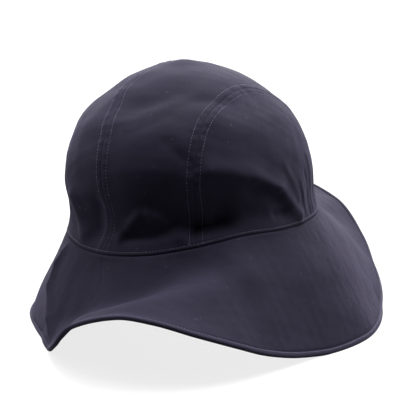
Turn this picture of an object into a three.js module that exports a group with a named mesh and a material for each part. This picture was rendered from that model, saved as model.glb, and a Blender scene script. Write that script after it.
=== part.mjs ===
// Sun hat of soft shell fabric: a three-panel crown on a wide drooping brim with a rolled hem.
// Millimetres, +Z up. The front faces -Y. A turn is an angle round +Z from the front, positive towards +X,
// which is the wearer's left. The hat rests on its own brim along both sides, and the origin is the middle
// of the underside of its box.

import * as THREE from 'three';
import { mergeVertices } from 'three/addons/utils/BufferGeometryUtils.js';

// Driving dimensions of the head oval and the cloth
const HEAD_HALF_WIDTH = 86;
const HEAD_HALF_LENGTH = 102;
const CROWN_TOP_HEIGHT = 181.3;
const CROWN_WALL = 1.5;
const BRIM_WALL = 2.0;
const SEAM_GAP = 0.3;
const HEM_WIDTH = 4.0;
const HEM_THICKNESS = 3.2;
const FLATTENED_DEPTH = 1.0;

// Length of the crown's cloth from the base seam to the top, used to give folds a true width
const CROWN_SIDE_LENGTH = 158;

// How finely each piece is faceted
const CROWN_STATIONS = 40;
const CENTRE_PANEL_STRIPS = 8;
const SIDE_PANEL_STRIPS = 15;
const BRIM_STATIONS_ROUND = 84;
const BRIM_STRIPS = 9;
const HEM_SIDES = 8;

// Height of the base seam, where the crown meets the brim
const BASE_SEAM = [
  { turn: -180, height: 71 },
  { turn: -135, height: 67 },
  { turn: -90, height: 64 },
  { turn: -45, height: 64 },
  { turn: -22, height: 62.5 },
  { turn: 0, height: 65.5 },
  { turn: 20, height: 71.5 },
  { turn: 40, height: 77 },
  { turn: 65, height: 76.5 },
  { turn: 100, height: 76 },
  { turn: 140, height: 75 },
];

// Crown profile from the base seam (rise 0) to the top (rise 1). Reach is a share of the head oval, height
// is a share of the way from the seam to the top, and lean moves the section along the turn LEAN_TURN.
const LEAN_TURN = 110;
const CROWN_PROFILE = [
  { rise: 0.0, reach: 1.0, height: 0.0, lean: 0.0 },
  { rise: 0.08, reach: 0.97, height: 0.109, lean: 0.0 },
  { rise: 0.16, reach: 0.972, height: 0.212, lean: -1.1 },
  { rise: 0.26, reach: 0.972, height: 0.341, lean: -2.8 },
  { rise: 0.38, reach: 0.929, height: 0.506, lean: -4.4 },
  { rise: 0.5, reach: 0.836, height: 0.651, lean: -5.5 },
  { rise: 0.6, reach: 0.736, height: 0.739, lean: -6.2 },
  { rise: 0.7, reach: 0.594, height: 0.824, lean: -6.0 },
  { rise: 0.78, reach: 0.471, height: 0.889, lean: -6.2 },
  { rise: 0.86, reach: 0.33, height: 0.939, lean: -6.8 },
  { rise: 0.93, reach: 0.172, height: 0.977, lean: -7.2 },
  { rise: 1.0, reach: 0.0, height: 1.0, lean: -7.6 },
];

// The two crown seams on the crown laid flat as a unit disc: along runs from the front edge (-1) over the top
// to the back edge (1), and right and left are the distances of the seams to either side of the middle line.
const PANEL_SEAMS = [
  { along: -1.0, right: -0.317, left: 0.355 },
  { along: -0.86, right: -0.24, left: 0.32 },
  { along: -0.68, right: -0.2, left: 0.264 },
  { along: -0.5, right: -0.165, left: 0.23 },
  { along: -0.34, right: -0.15, left: 0.218 },
  { along: -0.2, right: -0.142, left: 0.234 },
  { along: -0.06, right: -0.09, left: 0.268 },
  { along: 0.08, right: -0.066, left: 0.325 },
  { along: 0.25, right: -0.11, left: 0.375 },
  { along: 0.45, right: -0.19, left: 0.395 },
  { along: 0.7, right: -0.28, left: 0.39 },
  { along: 1.0, right: -0.36, left: 0.37 },
];

// Folds of the slumped crown. Each runs from one place to another, and pushes the cloth out (or in, where the
// depth is negative) over a width above it and another below it, in millimetres.
const CROWN_FOLDS = [
  { name: 'front hollow', turn: -7, rise: 0.075, toTurn: 9, toRise: 0.085, above: 12, below: 4, depth: -7.5 },
  { name: 'front ridge', turn: 3, rise: 0.17, toTurn: 16, toRise: 0.07, above: 5, below: 5, depth: 3.5 },
  { name: 'seam hollow', turn: 13, rise: 0.12, toTurn: 21, toRise: 0.075, above: 14, below: 4, depth: -8 },
  { name: 'seam end', turn: 21, rise: 0.075, toTurn: 32, toRise: 0.085, above: 14, below: 4, depth: -8 },
  { name: 'front slump', turn: -20, rise: 0.15, toTurn: 42, toRise: 0.13, above: 22, below: 16, depth: -5.5 },
  { name: 'right fin', turn: -10, rise: 0.075, toTurn: -1, toRise: 0.17, above: 4, below: 4, depth: 2.5 },
  { name: 'left hollow', turn: 24, rise: 0.23, toTurn: 46, toRise: 0.2, above: 10, below: 14, depth: -6.5 },
  { name: 'left crook', turn: 46, rise: 0.2, toTurn: 61, toRise: 0.155, above: 6, below: 8, depth: -6.5 },
  { name: 'left brow', turn: 30, rise: 0.33, toTurn: 50, toRise: 0.27, above: 9, below: 6, depth: 3.5 },
  { name: 'left ridge', turn: 50, rise: 0.27, toTurn: 62, toRise: 0.2, above: 8, below: 5, depth: 4 },
  { name: 'left ridge end', turn: 62, rise: 0.2, toTurn: 76, toRise: 0.05, above: 7, below: 6, depth: 3 },
  { name: 'left dimple', turn: 60, rise: 0.08, toTurn: 64, toRise: 0.08, above: 7, below: 5, depth: -3 },
  { name: 'right hollow', turn: -21, rise: 0.2, toTurn: -22, toRise: 0.1, above: 9, below: 9, depth: -5 },
  { name: 'right ridge', turn: -40, rise: 0.2, toTurn: -31, toRise: 0.07, above: 7, below: 7, depth: 2.5 },
  { name: 'right slump', turn: -64, rise: 0.12, toTurn: -92, toRise: 0.1, above: 12, below: 6, depth: -4.5 },
  { name: 'side swell', turn: -75, rise: 0.24, toTurn: -112, toRise: 0.27, above: 16, below: 14, depth: 2.5 },
  { name: 'back slump', turn: -128, rise: 0.14, toTurn: -156, toRise: 0.1, above: 13, below: 7, depth: -5.5 },
  { name: 'back ridge', turn: -146, rise: 0.24, toTurn: -166, toRise: 0.14, above: 9, below: 8, depth: 2.5 },
  { name: 'nape hollow', turn: 176, rise: 0.15, toTurn: 152, toRise: 0.11, above: 13, below: 7, depth: -5.5 },
  { name: 'nape swell', turn: 168, rise: 0.29, toTurn: 138, toRise: 0.24, above: 14, below: 12, depth: 2.5 },
  { name: 'side hollow', turn: 138, rise: 0.12, toTurn: 122, toRise: 0.15, above: 10, below: 7, depth: -3.5 },
  { name: 'top dent', turn: -8, rise: 0.66, toTurn: 17, toRise: 0.75, above: 13, below: 13, depth: -1.5 },
];

// Power by which folds that meet are joined, so that they pass into each other without piling up
const FOLD_JOIN = 3;

// The brim by turn. Reach is the rim's distance from the hat's upright axis and height is the rim's height.
// Between the seam and the rim the cloth leaves the straight line by bend, most at the share bendAt of the
// way: a negative bend is a steep collar that flares out, and a positive one is a rounded droop.
const BRIM = [
  { turn: -180, reach: 189.5, height: 68, bendAt: 0.3, bend: -7 },
  { turn: -162, reach: 183, height: 55, bendAt: 0.32, bend: -6 },
  { turn: -145, reach: 168, height: 29, bendAt: 0.38, bend: -1 },
  { turn: -128, reach: 146, height: 7.5, bendAt: 0.45, bend: 4 },
  { turn: -108, reach: 127, height: 0.8, bendAt: 0.5, bend: 5 },
  { turn: -92, reach: 119.5, height: 0.8, bendAt: 0.5, bend: 3 },
  { turn: -75, reach: 116.8, height: 0.5, bendAt: 0.5, bend: 0.6 },
  { turn: -55, reach: 115, height: 0.3, bendAt: 0.5, bend: 1.6 },
  { turn: -40, reach: 119.5, height: 0.4, bendAt: 0.5, bend: 3 },
  { turn: -32, reach: 127, height: 0.7, bendAt: 0.6, bend: 1 },
  { turn: -26, reach: 134, height: 1.3, bendAt: 0.66, bend: -3 },
  { turn: -17, reach: 151.5, height: 12.8, bendAt: 0.58, bend: -12 },
  { turn: -8, reach: 166.5, height: 33, bendAt: 0.49, bend: -18 },
  { turn: 4, reach: 175.5, height: 45.5, bendAt: 0.37, bend: -18.5 },
  { turn: 12, reach: 175.5, height: 43, bendAt: 0.27, bend: -13 },
  { turn: 21, reach: 172.5, height: 34, bendAt: 0.17, bend: -6 },
  { turn: 30, reach: 162.5, height: 23, bendAt: 0.18, bend: -1.5 },
  { turn: 37, reach: 152.5, height: 14.3, bendAt: 0.4, bend: 1 },
  { turn: 46, reach: 142.5, height: 7.0, bendAt: 0.4, bend: 2 },
  { turn: 54, reach: 136.5, height: 3.0, bendAt: 0.4, bend: 3 },
  { turn: 63, reach: 134.6, height: 0.8, bendAt: 0.4, bend: 3 },
  { turn: 80, reach: 134.4, height: 0.8, bendAt: 0.4, bend: 3 },
  { turn: 95, reach: 133, height: 0.8, bendAt: 0.4, bend: 3 },
  { turn: 107, reach: 133.7, height: 1.0, bendAt: 0.4, bend: 3 },
  { turn: 118, reach: 137.5, height: 3.0, bendAt: 0.4, bend: 4 },
  { turn: 139, reach: 155.5, height: 16.6, bendAt: 0.4, bend: 4 },
  { turn: 150, reach: 170.5, height: 31.4, bendAt: 0.36, bend: 0 },
  { turn: 162, reach: 183, height: 54, bendAt: 0.32, bend: -5 },
];

// Creases and swells of the brim, from the seam (out 0) to the rim (out 1)
const BRIM_CREASES = [
  { name: 'crease start', turn: -43, out: 0.02, toTurn: -45.5, toOut: 0.25, above: 5, below: 5, depth: 1.8 },
  { name: 'crease', turn: -45.5, out: 0.25, toTurn: -43, toOut: 0.5, above: 5, below: 5, depth: 2.4 },
  { name: 'crease bend', turn: -43, out: 0.5, toTurn: -34, toOut: 0.75, above: 5, below: 5, depth: 2.8 },
  { name: 'crease end', turn: -34, out: 0.75, toTurn: -26, toOut: 0.95, above: 5, below: 5, depth: 2.2 },
  { name: 'front swell', turn: -10, out: 0.8, toTurn: 6, toOut: 0.68, above: 13, below: 13, depth: 3 },
  { name: 'lobe swell', turn: 6, out: 0.68, toTurn: 24, toOut: 0.48, above: 15, below: 15, depth: 3.5 },
  { name: 'lobe end', turn: 24, out: 0.48, toTurn: 38, toOut: 0.36, above: 15, below: 15, depth: 2.5 },
];

// Width of the roof's rounding in the brim's bend, as a share of the brim's width
const BEND_ROUNDING = 0.16;

// Shares of the brim's width over which its creases fade in from the seam and out towards the hem
const CREASE_SETTLE = 0.15;
const CREASE_FADE = { from: 0.78, to: 0.95 };

// Shares of the brim's width where the hem takes its direction and its slant from
const HEM_DIRECTION_FROM = 0.96;
const HEM_SLANT_AT = 0.98;

// Rise above which folds push the crown's cloth more and more upwards instead of outwards
const UPWARD_FROM_RISE = 0.4;

// Smallest section of the crown, as a share of the head oval, that folds are measured on
const LEAST_REACH = 0.05;

// Strips of a side panel lie closer together towards the base, where the folds are
const SIDE_PANEL_SPREAD = 0.8;

// Step along a surface's parameters for its normal, and how close points are merged in millimetres
const NORMAL_STEP = 1e-3;
const MERGE_DISTANCE = 1e-3;

const radians = THREE.MathUtils.degToRad;

// Difference of two turns, between -180 and 180 degrees
function turnBetween(from, to) {
  return ((((to - from + 180) % 360) + 360) % 360) - 180;
}

// Smooth curve through one column of a table, with tangents taken from the neighbouring rows. It may close on
// itself after a period, or end level.
function smoothColumn(rows, key, column, { period = 0, endsLevel = false } = {}) {
  const keys = rows.map((row) => row[key]);
  const values = rows.map((row) => row[column]);
  if (period) {
    keys.unshift(keys.at(-1) - period);
    values.unshift(values.at(-1));
    keys.push(keys[1] + period, keys[2] + period);
    values.push(values[1], values[2]);
  }
  const last = keys.length - 1;
  const slopes = keys.map((_, i) => {
    const before = Math.max(i - 1, 0);
    const after = Math.min(i + 1, last);
    return (values[after] - values[before]) / (keys[after] - keys[before]);
  });
  if (endsLevel) {
    slopes[last] = 0;
  }
  return (place) => {
    let at = place;
    if (period) {
      at = keys[1] + ((((place - keys[1]) % period) + period) % period);
    }
    let i = 0;
    while (i < last - 1 && at > keys[i + 1]) {
      i += 1;
    }
    const step = keys[i + 1] - keys[i];
    const u = THREE.MathUtils.clamp((at - keys[i]) / step, 0, 1);
    const u2 = u * u;
    const u3 = u2 * u;
    return (2 * u3 - 3 * u2 + 1) * values[i] + (u3 - 2 * u2 + u) * step * slopes[i]
      + (3 * u2 - 2 * u3) * values[i + 1] + (u3 - u2) * step * slopes[i + 1];
  };
}

const seamHeight = smoothColumn(BASE_SEAM, 'turn', 'height', { period: 360 });
const crownReach = smoothColumn(CROWN_PROFILE, 'rise', 'reach');
const crownHeight = smoothColumn(CROWN_PROFILE, 'rise', 'height', { endsLevel: true });
const crownLean = smoothColumn(CROWN_PROFILE, 'rise', 'lean');
const rightSeam = smoothColumn(PANEL_SEAMS, 'along', 'right');
const leftSeam = smoothColumn(PANEL_SEAMS, 'along', 'left');
const rimReach = smoothColumn(BRIM, 'turn', 'reach', { period: 360 });
const rimHeight = smoothColumn(BRIM, 'turn', 'height', { period: 360 });
const bendPlace = smoothColumn(BRIM, 'turn', 'bendAt', { period: 360 });
const bendSize = smoothColumn(BRIM, 'turn', 'bend', { period: 360 });

// Distance of the head oval from the axis at a turn
function headReach(turn) {
  const across = Math.sin(radians(turn)) / HEAD_HALF_WIDTH;
  const along = Math.cos(radians(turn)) / HEAD_HALF_LENGTH;
  return 1 / Math.hypot(across, along);
}

// Point at a turn, a distance from the axis and a height
function pointAt(turn, reach, height) {
  return new THREE.Vector3(reach * Math.sin(radians(turn)), -reach * Math.cos(radians(turn)), height);
}

// How far a fold or crease pushes the cloth at a place. The two distances are in millimetres, and the width
// passes from the one above the fold to the one below it.
function foldPush(fold, sideways, lengthways, foldAcross, foldAlong) {
  const alongFold = sideways * foldAcross + lengthways * foldAlong;
  const share = THREE.MathUtils.clamp(alongFold / (foldAcross ** 2 + foldAlong ** 2), 0, 1);
  const above = lengthways - share * foldAlong;
  const distance = Math.hypot(sideways - share * foldAcross, above);
  const width = THREE.MathUtils.lerp(fold.below, fold.above, 0.5 + (0.5 * above) / (distance + 1));
  return fold.depth * Math.exp(-((distance / width) ** 2));
}

// Joins the pushes of folds: ridges with ridges and hollows with hollows
function joinFolds(pushes) {
  const joined = (sign) => {
    const powers = pushes.filter((push) => push * sign > 0).map((push) => Math.abs(push) ** FOLD_JOIN);
    return powers.reduce((sum, power) => sum + power, 0) ** (1 / FOLD_JOIN);
  };
  return joined(1) - joined(-1);
}

// Push of the crown's folds at a turn and rise
function crownFold(turn, rise) {
  const degree = radians(1) * headReach(turn) * Math.max(crownReach(rise), LEAST_REACH);
  return joinFolds(CROWN_FOLDS.map((fold) => foldPush(
    fold,
    turnBetween(fold.turn, turn) * degree,
    (rise - fold.rise) * CROWN_SIDE_LENGTH,
    turnBetween(fold.turn, fold.toTurn) * degree,
    (fold.toRise - fold.rise) * CROWN_SIDE_LENGTH,
  )));
}

// Crown's outer face without folds
function plainCrown(turn, rise) {
  const reach = headReach(turn) * Math.max(crownReach(rise), 0);
  const share = crownHeight(rise);
  const height = seamHeight(turn) * (1 - share) + CROWN_TOP_HEIGHT * share;
  const lean = pointAt(LEAN_TURN, crownLean(rise), 0);
  return pointAt(turn, reach, height).add(lean);
}

// Places on the crown laid flat as a unit disc, from its middle line: x to the wearer's left, y to the back
function crownPlace(x, y) {
  const fromTop = Math.min(Math.hypot(x, y), 1);
  return { turn: THREE.MathUtils.radToDeg(Math.atan2(x, -y)), rise: 1 - fromTop };
}

// Crown's outer face at a place of the flat disc, with folds
function crownPoint(x, y) {
  const { turn, rise } = crownPlace(x, y);
  const point = plainCrown(turn, rise);
  const upward = THREE.MathUtils.smoothstep(rise, UPWARD_FROM_RISE, 1);
  const out = pointAt(turn, 1, 0).lerp(new THREE.Vector3(0, 0, 1), upward);
  return point.addScaledVector(out.normalize(), crownFold(turn, rise));
}

// Straight width of the brim at a turn
function brimWidth(turn) {
  return Math.hypot(rimReach(turn) - headReach(turn), rimHeight(turn) - seamHeight(turn));
}

// Rounded roof: 0 at both ends, about 1 where the bend lies
function bendRoof(share, place) {
  const roof = (at) => {
    const up = at / place;
    const down = (1 - at) / (1 - place);
    return 0.5 * (up + down - Math.hypot(up - down, BEND_ROUNDING / place));
  };
  return roof(share) - THREE.MathUtils.lerp(roof(0), roof(1), share);
}

// Brim's upper face at a turn and a share of the way out from the seam to the rim
function brimPoint(turn, share) {
  const start = new THREE.Vector2(headReach(turn), seamHeight(turn));
  const end = new THREE.Vector2(rimReach(turn), rimHeight(turn));
  const line = end.clone().sub(start);
  const width = line.length();
  const outward = new THREE.Vector2(-line.y, line.x).normalize();
  const degree = radians(1) * THREE.MathUtils.lerp(start.x, end.x, share);
  const crease = joinFolds(BRIM_CREASES.map((fold) => foldPush(
    fold,
    turnBetween(fold.turn, turn) * degree,
    (share - fold.out) * width,
    turnBetween(fold.turn, fold.toTurn) * degree,
    (fold.toOut - fold.out) * width,
  )));
  const settle = THREE.MathUtils.smoothstep(share, 0, CREASE_SETTLE);
  const fade = 1 - THREE.MathUtils.smoothstep(share, CREASE_FADE.from, CREASE_FADE.to);
  const bend = bendSize(turn) * bendRoof(share, bendPlace(turn)) + crease * settle * fade;
  const place = start.addScaledVector(line, share).addScaledVector(outward, bend);
  return pointAt(turn, place.x, place.y);
}

// Outward unit normal of a surface by small steps along its two parameters
function normalOf(surface, u, v) {
  const alongU = surface(u + NORMAL_STEP, v).sub(surface(u - NORMAL_STEP, v));
  const alongV = surface(u, v + NORMAL_STEP).sub(surface(u, v - NORMAL_STEP));
  return alongU.cross(alongV).normalize();
}

// One closed geometry from triangles, without the ones that have no area
function closedGeometry(triangles) {
  const corners = triangles.flat().flatMap((point) => point.toArray());
  const soup = new THREE.BufferGeometry();
  soup.setAttribute('position', new THREE.Float32BufferAttribute(corners, 3));
  const merged = mergeVertices(soup, MERGE_DISTANCE);
  const index = merged.getIndex().array;
  const kept = [];
  for (let i = 0; i < index.length; i += 3) {
    const [a, b, c] = index.slice(i, i + 3);
    if (a !== b && b !== c && c !== a) {
      kept.push(a, b, c);
    }
  }
  merged.setIndex(kept);
  merged.computeVertexNormals();
  return merged;
}

// Adds the two triangles of a four-sided facet
function addFacet(triangles, a, b, c, d) {
  triangles.push([a, b, c], [a, c, d]);
}

// Cloth of even thickness: the outer face is a grid of points, and the inner face lies a wall's thickness
// behind it. Columns run to the right of the rows, seen from outside. The rows may close into a ring.
function clothGeometry(outer, inner, ring = false) {
  const triangles = [];
  const rows = outer.length;
  const last = rows - 1;
  const edge = outer[0].length - 1;
  const steps = ring ? rows : last;
  for (let i = 0; i < steps; i += 1) {
    const next = (i + 1) % rows;
    for (let j = 0; j < edge; j += 1) {
      addFacet(triangles, outer[i][j], outer[i][j + 1], outer[next][j + 1], outer[next][j]);
      addFacet(triangles, inner[i][j], inner[next][j], inner[next][j + 1], inner[i][j + 1]);
    }
    addFacet(triangles, outer[i][0], outer[next][0], inner[next][0], inner[i][0]);
    addFacet(triangles, outer[next][edge], outer[i][edge], inner[i][edge], inner[next][edge]);
  }
  if (!ring) {
    for (let j = 0; j < edge; j += 1) {
      addFacet(triangles, outer[0][j + 1], outer[0][j], inner[0][j], inner[0][j + 1]);
      addFacet(triangles, outer[last][j], outer[last][j + 1], inner[last][j + 1], inner[last][j]);
    }
  }
  return closedGeometry(triangles);
}

// Half a seam gap at a place of the flat disc, as a share of the disc's radius
function halfGap(x, y) {
  const { turn, rise } = crownPlace(x, y);
  return (SEAM_GAP / 2) * ((1 - rise) / (headReach(turn) * crownReach(rise)));
}

// Place on a crown seam, moved sideways from it by half a seam gap times side
function seamPlace(seam, along, side) {
  const x = seam(along);
  const y = along * Math.sqrt(1 - x * x);
  return new THREE.Vector2(x + side * halfGap(x, y), y);
}

// Crown panel over stations from the front to the back, from a function that gives the place on the flat disc
// at a station and a share of the way across. It stands a seam gap above the brim.
function crownPanel(placeOf, strips) {
  const lift = new THREE.Vector3(0, 0, SEAM_GAP);
  const outer = [];
  const inner = [];
  for (let i = 0; i <= CROWN_STATIONS; i += 1) {
    outer.push([]);
    inner.push([]);
    for (let j = 0; j <= strips; j += 1) {
      const place = placeOf(i / CROWN_STATIONS, j / strips);
      const point = crownPoint(place.x, place.y).add(lift);
      const normal = normalOf(crownPoint, place.x, place.y);
      outer[i].push(point);
      inner[i].push(point.clone().addScaledVector(normal, -CROWN_WALL));
    }
  }
  return clothGeometry(outer, inner);
}

// Stations lie closer together near the front and back ends of a seam
function alongAt(station) {
  return -Math.cos(Math.PI * station);
}

// Centre panel: straight across from the right seam to the left seam, along rings of the disc
function centrePanel() {
  return crownPanel((station, share) => {
    const along = alongAt(station);
    const right = seamPlace(rightSeam, along, 1);
    const left = seamPlace(leftSeam, along, -1);
    const x = THREE.MathUtils.lerp(right.x, left.x, share);
    return new THREE.Vector2(x, along * Math.sqrt(1 - x * x));
  }, CENTRE_PANEL_STRIPS);
}

// Side panel between a crown seam and the base seam. Side is 1 for the wearer's left and -1 for the right.
function sidePanel(seam, side) {
  const front = seamPlace(seam, -1, side);
  const back = seamPlace(seam, 1, side);
  const frontAngle = Math.atan2(Math.abs(front.x), -front.y);
  const backAngle = Math.atan2(Math.abs(back.x), -back.y);
  return crownPanel((station, share) => {
    const angle = THREE.MathUtils.lerp(frontAngle, backAngle, station);
    const base = new THREE.Vector2(side * Math.sin(angle), -Math.cos(angle));
    const top = seamPlace(seam, alongAt(station), side);
    const fromTop = side > 0 ? share : 1 - share;
    return top.lerp(base, fromTop ** SIDE_PANEL_SPREAD);
  }, SIDE_PANEL_STRIPS);
}

// Brim: a ring from the base seam to the hem
function brimRing() {
  const outer = [];
  const inner = [];
  for (let i = 0; i < BRIM_STATIONS_ROUND; i += 1) {
    const turn = (360 * i) / BRIM_STATIONS_ROUND;
    const hemShare = 1 - (HEM_WIDTH + SEAM_GAP) / brimWidth(turn);
    outer.push([]);
    inner.push([]);
    for (let j = 0; j <= BRIM_STRIPS; j += 1) {
      const share = hemShare * (j / BRIM_STRIPS);
      const point = brimPoint(turn, share);
      const normal = normalOf(brimPoint, turn, share).negate();
      outer[i].push(point);
      inner[i].push(point.clone().addScaledVector(normal, -BRIM_WALL));
    }
  }
  return clothGeometry(outer, inner, true);
}

// Hem: a rounded roll along the rim. Its lowest stretches are flattened where the hat rests.
function hemRing() {
  const sections = [];
  for (let i = 0; i < BRIM_STATIONS_ROUND; i += 1) {
    const turn = (360 * i) / BRIM_STATIONS_ROUND;
    const rim = brimPoint(turn, 1);
    const outward = rim.clone().sub(brimPoint(turn, HEM_DIRECTION_FROM)).normalize();
    const normal = normalOf(brimPoint, turn, HEM_SLANT_AT).negate();
    const middle = rim.addScaledVector(outward, -HEM_WIDTH / 2).addScaledVector(normal, -BRIM_WALL / 2);
    sections.push(Array.from({ length: HEM_SIDES }, (_, k) => {
      const angle = (2 * Math.PI * (k + 0.5)) / HEM_SIDES;
      const along = Math.cos(angle) / Math.cos(Math.PI / HEM_SIDES);
      const across = Math.sin(angle) / Math.cos(Math.PI / HEM_SIDES);
      return middle.clone()
        .addScaledVector(outward, (HEM_WIDTH / 2) * along)
        .addScaledVector(normal, (HEM_THICKNESS / 2) * across);
    }));
  }
  const floor = Math.min(...sections.flat().map((point) => point.z)) + FLATTENED_DEPTH;
  sections.flat().forEach((point) => {
    point.z = Math.max(point.z, floor);
  });
  const triangles = [];
  sections.forEach((section, i) => {
    const following = sections[(i + 1) % sections.length];
    for (let k = 0; k < HEM_SIDES; k += 1) {
      const up = (k + 1) % HEM_SIDES;
      addFacet(triangles, section[k], following[k], following[up], section[up]);
    }
  });
  return closedGeometry(triangles);
}

// Named mesh in its own woven shell fabric
function clothPiece(name, geometry, color) {
  const material = new THREE.MeshStandardMaterial({ color, roughness: 0.85, metalness: 0 });
  const piece = new THREE.Mesh(geometry, material);
  piece.name = name;
  return piece;
}

const hat = new THREE.Group();
hat.add(
  clothPiece('crown_centre_panel', centrePanel(), 0x3a3849),
  clothPiece('crown_left_panel', sidePanel(leftSeam, 1), 0x3b394b),
  clothPiece('crown_right_panel', sidePanel(rightSeam, -1), 0x3b394b),
  clothPiece('brim', brimRing(), 0x3a3849),
  clothPiece('brim_hem', hemRing(), 0x413f52),
);

// The hat stands on its flattened hem, with the middle of its box over the origin
const box = new THREE.Box3().setFromObject(hat);
const middle = box.getCenter(new THREE.Vector3());
hat.position.set(-middle.x, -middle.y, -box.min.z);

export default hat;
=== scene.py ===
"""Sun hat of dark shell cloth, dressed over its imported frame.

Shapes are worked out in millimetres in the hat's own pattern frame, and every mesh is in metres in the
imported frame. The front faces -Y. A turn is an angle in degrees round +Z from the front, positive towards
the wearer's left. Rise runs up the crown from the base seam (0) to the top (1), and a share of the way out
runs across the brim from the base seam (0) to the rim (1). The crown laid flat is a disc of radius 1, with
x to the wearer's left and y to the back.
"""

import logging
import math
from dataclasses import dataclass, field
from enum import Enum
from typing import Callable, NamedTuple, Sequence

import bmesh
import bpy
import numpy as np
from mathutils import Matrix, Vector


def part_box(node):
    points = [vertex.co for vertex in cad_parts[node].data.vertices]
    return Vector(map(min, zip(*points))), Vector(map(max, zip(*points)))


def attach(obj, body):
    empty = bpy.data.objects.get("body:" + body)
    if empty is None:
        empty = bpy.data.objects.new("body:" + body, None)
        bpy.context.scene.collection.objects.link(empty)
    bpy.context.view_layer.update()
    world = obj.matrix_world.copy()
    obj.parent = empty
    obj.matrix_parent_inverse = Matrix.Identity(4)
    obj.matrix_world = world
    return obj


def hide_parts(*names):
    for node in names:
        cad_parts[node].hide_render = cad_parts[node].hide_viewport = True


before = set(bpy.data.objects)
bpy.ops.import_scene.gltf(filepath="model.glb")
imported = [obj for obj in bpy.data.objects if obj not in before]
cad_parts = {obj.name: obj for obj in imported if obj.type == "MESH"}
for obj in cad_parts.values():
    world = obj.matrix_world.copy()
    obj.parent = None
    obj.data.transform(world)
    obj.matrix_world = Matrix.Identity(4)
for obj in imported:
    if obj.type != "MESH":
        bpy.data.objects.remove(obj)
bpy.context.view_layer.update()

LOG = logging.getLogger("sun_hat")
METRES = 0.001
Array = np.ndarray
Colour = tuple[float, float, float]
Socket = bpy.types.NodeSocket


class Side(Enum):
    """The wearer's side that a piece or seam lies on."""

    RIGHT = -1
    LEFT = 1


class SeamRow(NamedTuple):
    """Height of the base seam at a turn."""

    turn: float
    height: float


class ProfileRow(NamedTuple):
    """One section of the crown."""

    rise: float
    reach: float
    height: float
    lean: float


class PanelRow(NamedTuple):
    """Both crown seams at one place on the crown laid flat."""

    along: float
    right: float
    left: float


class BrimRow(NamedTuple):
    """The brim's cross-section at a turn."""

    turn: float
    reach: float
    height: float
    bend_at: float
    bend: float


class Fold(NamedTuple):
    """A fold from one place to another, which pushes the cloth out by depth, over width above it and below.

    The level is the rise on the crown, or the share of the way out on the brim.
    """

    from_turn: float
    from_level: float
    to_turn: float
    to_level: float
    width: float
    below: float
    depth: float


# Power by which folds that meet are joined, so that they pass into each other without piling up
FOLD_JOIN = 3

# Tables of the main form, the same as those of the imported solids
BASE_SEAM = (
    SeamRow(-180, 71), SeamRow(-135, 67), SeamRow(-90, 64), SeamRow(-45, 64), SeamRow(-22, 62.5),
    SeamRow(0, 65.5), SeamRow(20, 71.5), SeamRow(40, 77), SeamRow(65, 76.5), SeamRow(100, 76),
    SeamRow(140, 75),
)
CROWN_PROFILE = (
    ProfileRow(0.0, 1.0, 0.0, 0.0), ProfileRow(0.08, 0.97, 0.109, 0.0),
    ProfileRow(0.16, 0.972, 0.212, -1.1), ProfileRow(0.26, 0.972, 0.341, -2.8),
    ProfileRow(0.38, 0.929, 0.506, -4.4), ProfileRow(0.5, 0.836, 0.651, -5.5),
    ProfileRow(0.6, 0.736, 0.739, -6.2), ProfileRow(0.7, 0.594, 0.824, -6.0),
    ProfileRow(0.78, 0.471, 0.889, -6.2), ProfileRow(0.86, 0.33, 0.939, -6.8),
    ProfileRow(0.93, 0.172, 0.977, -7.2), ProfileRow(1.0, 0.0, 1.0, -7.6),
)
PANEL_SEAMS = (
    PanelRow(-1.0, -0.317, 0.355), PanelRow(-0.86, -0.24, 0.32), PanelRow(-0.68, -0.2, 0.264),
    PanelRow(-0.5, -0.165, 0.23), PanelRow(-0.34, -0.15, 0.218), PanelRow(-0.2, -0.142, 0.234),
    PanelRow(-0.06, -0.09, 0.268), PanelRow(0.08, -0.066, 0.325), PanelRow(0.25, -0.11, 0.375),
    PanelRow(0.45, -0.19, 0.395), PanelRow(0.7, -0.28, 0.39), PanelRow(1.0, -0.36, 0.37),
)
CROWN_FOLDS = (
    Fold(-7, 0.075, 9, 0.085, 12, 4, -7.5),
    Fold(3, 0.17, 16, 0.07, 5, 5, 3.5),
    Fold(13, 0.12, 21, 0.075, 14, 4, -8.0),
    Fold(21, 0.075, 32, 0.085, 14, 4, -8.0),
    Fold(-20, 0.15, 42, 0.13, 22, 16, -5.5),
    Fold(-10, 0.075, -1, 0.17, 4, 4, 2.5),
    Fold(24, 0.23, 46, 0.2, 10, 14, -6.5),
    Fold(46, 0.2, 61, 0.155, 6, 8, -6.5),
    Fold(30, 0.33, 50, 0.27, 9, 6, 3.5),
    Fold(50, 0.27, 62, 0.2, 8, 5, 4.0),
    Fold(62, 0.2, 76, 0.05, 7, 6, 3.0),
    Fold(60, 0.08, 64, 0.08, 7, 5, -3.0),
    Fold(-21, 0.2, -22, 0.1, 9, 9, -5.0),
    Fold(-40, 0.2, -31, 0.07, 7, 7, 2.5),
    Fold(-64, 0.12, -92, 0.1, 12, 6, -4.5),
    Fold(-75, 0.24, -112, 0.27, 16, 14, 2.5),
    Fold(-128, 0.14, -156, 0.1, 13, 7, -5.5),
    Fold(-146, 0.24, -166, 0.14, 9, 8, 2.5),
    Fold(176, 0.15, 152, 0.11, 13, 7, -5.5),
    Fold(168, 0.29, 138, 0.24, 14, 12, 2.5),
    Fold(138, 0.12, 122, 0.15, 10, 7, -3.5),
    Fold(-8, 0.66, 17, 0.75, 13, 13, -1.5),
)
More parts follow.
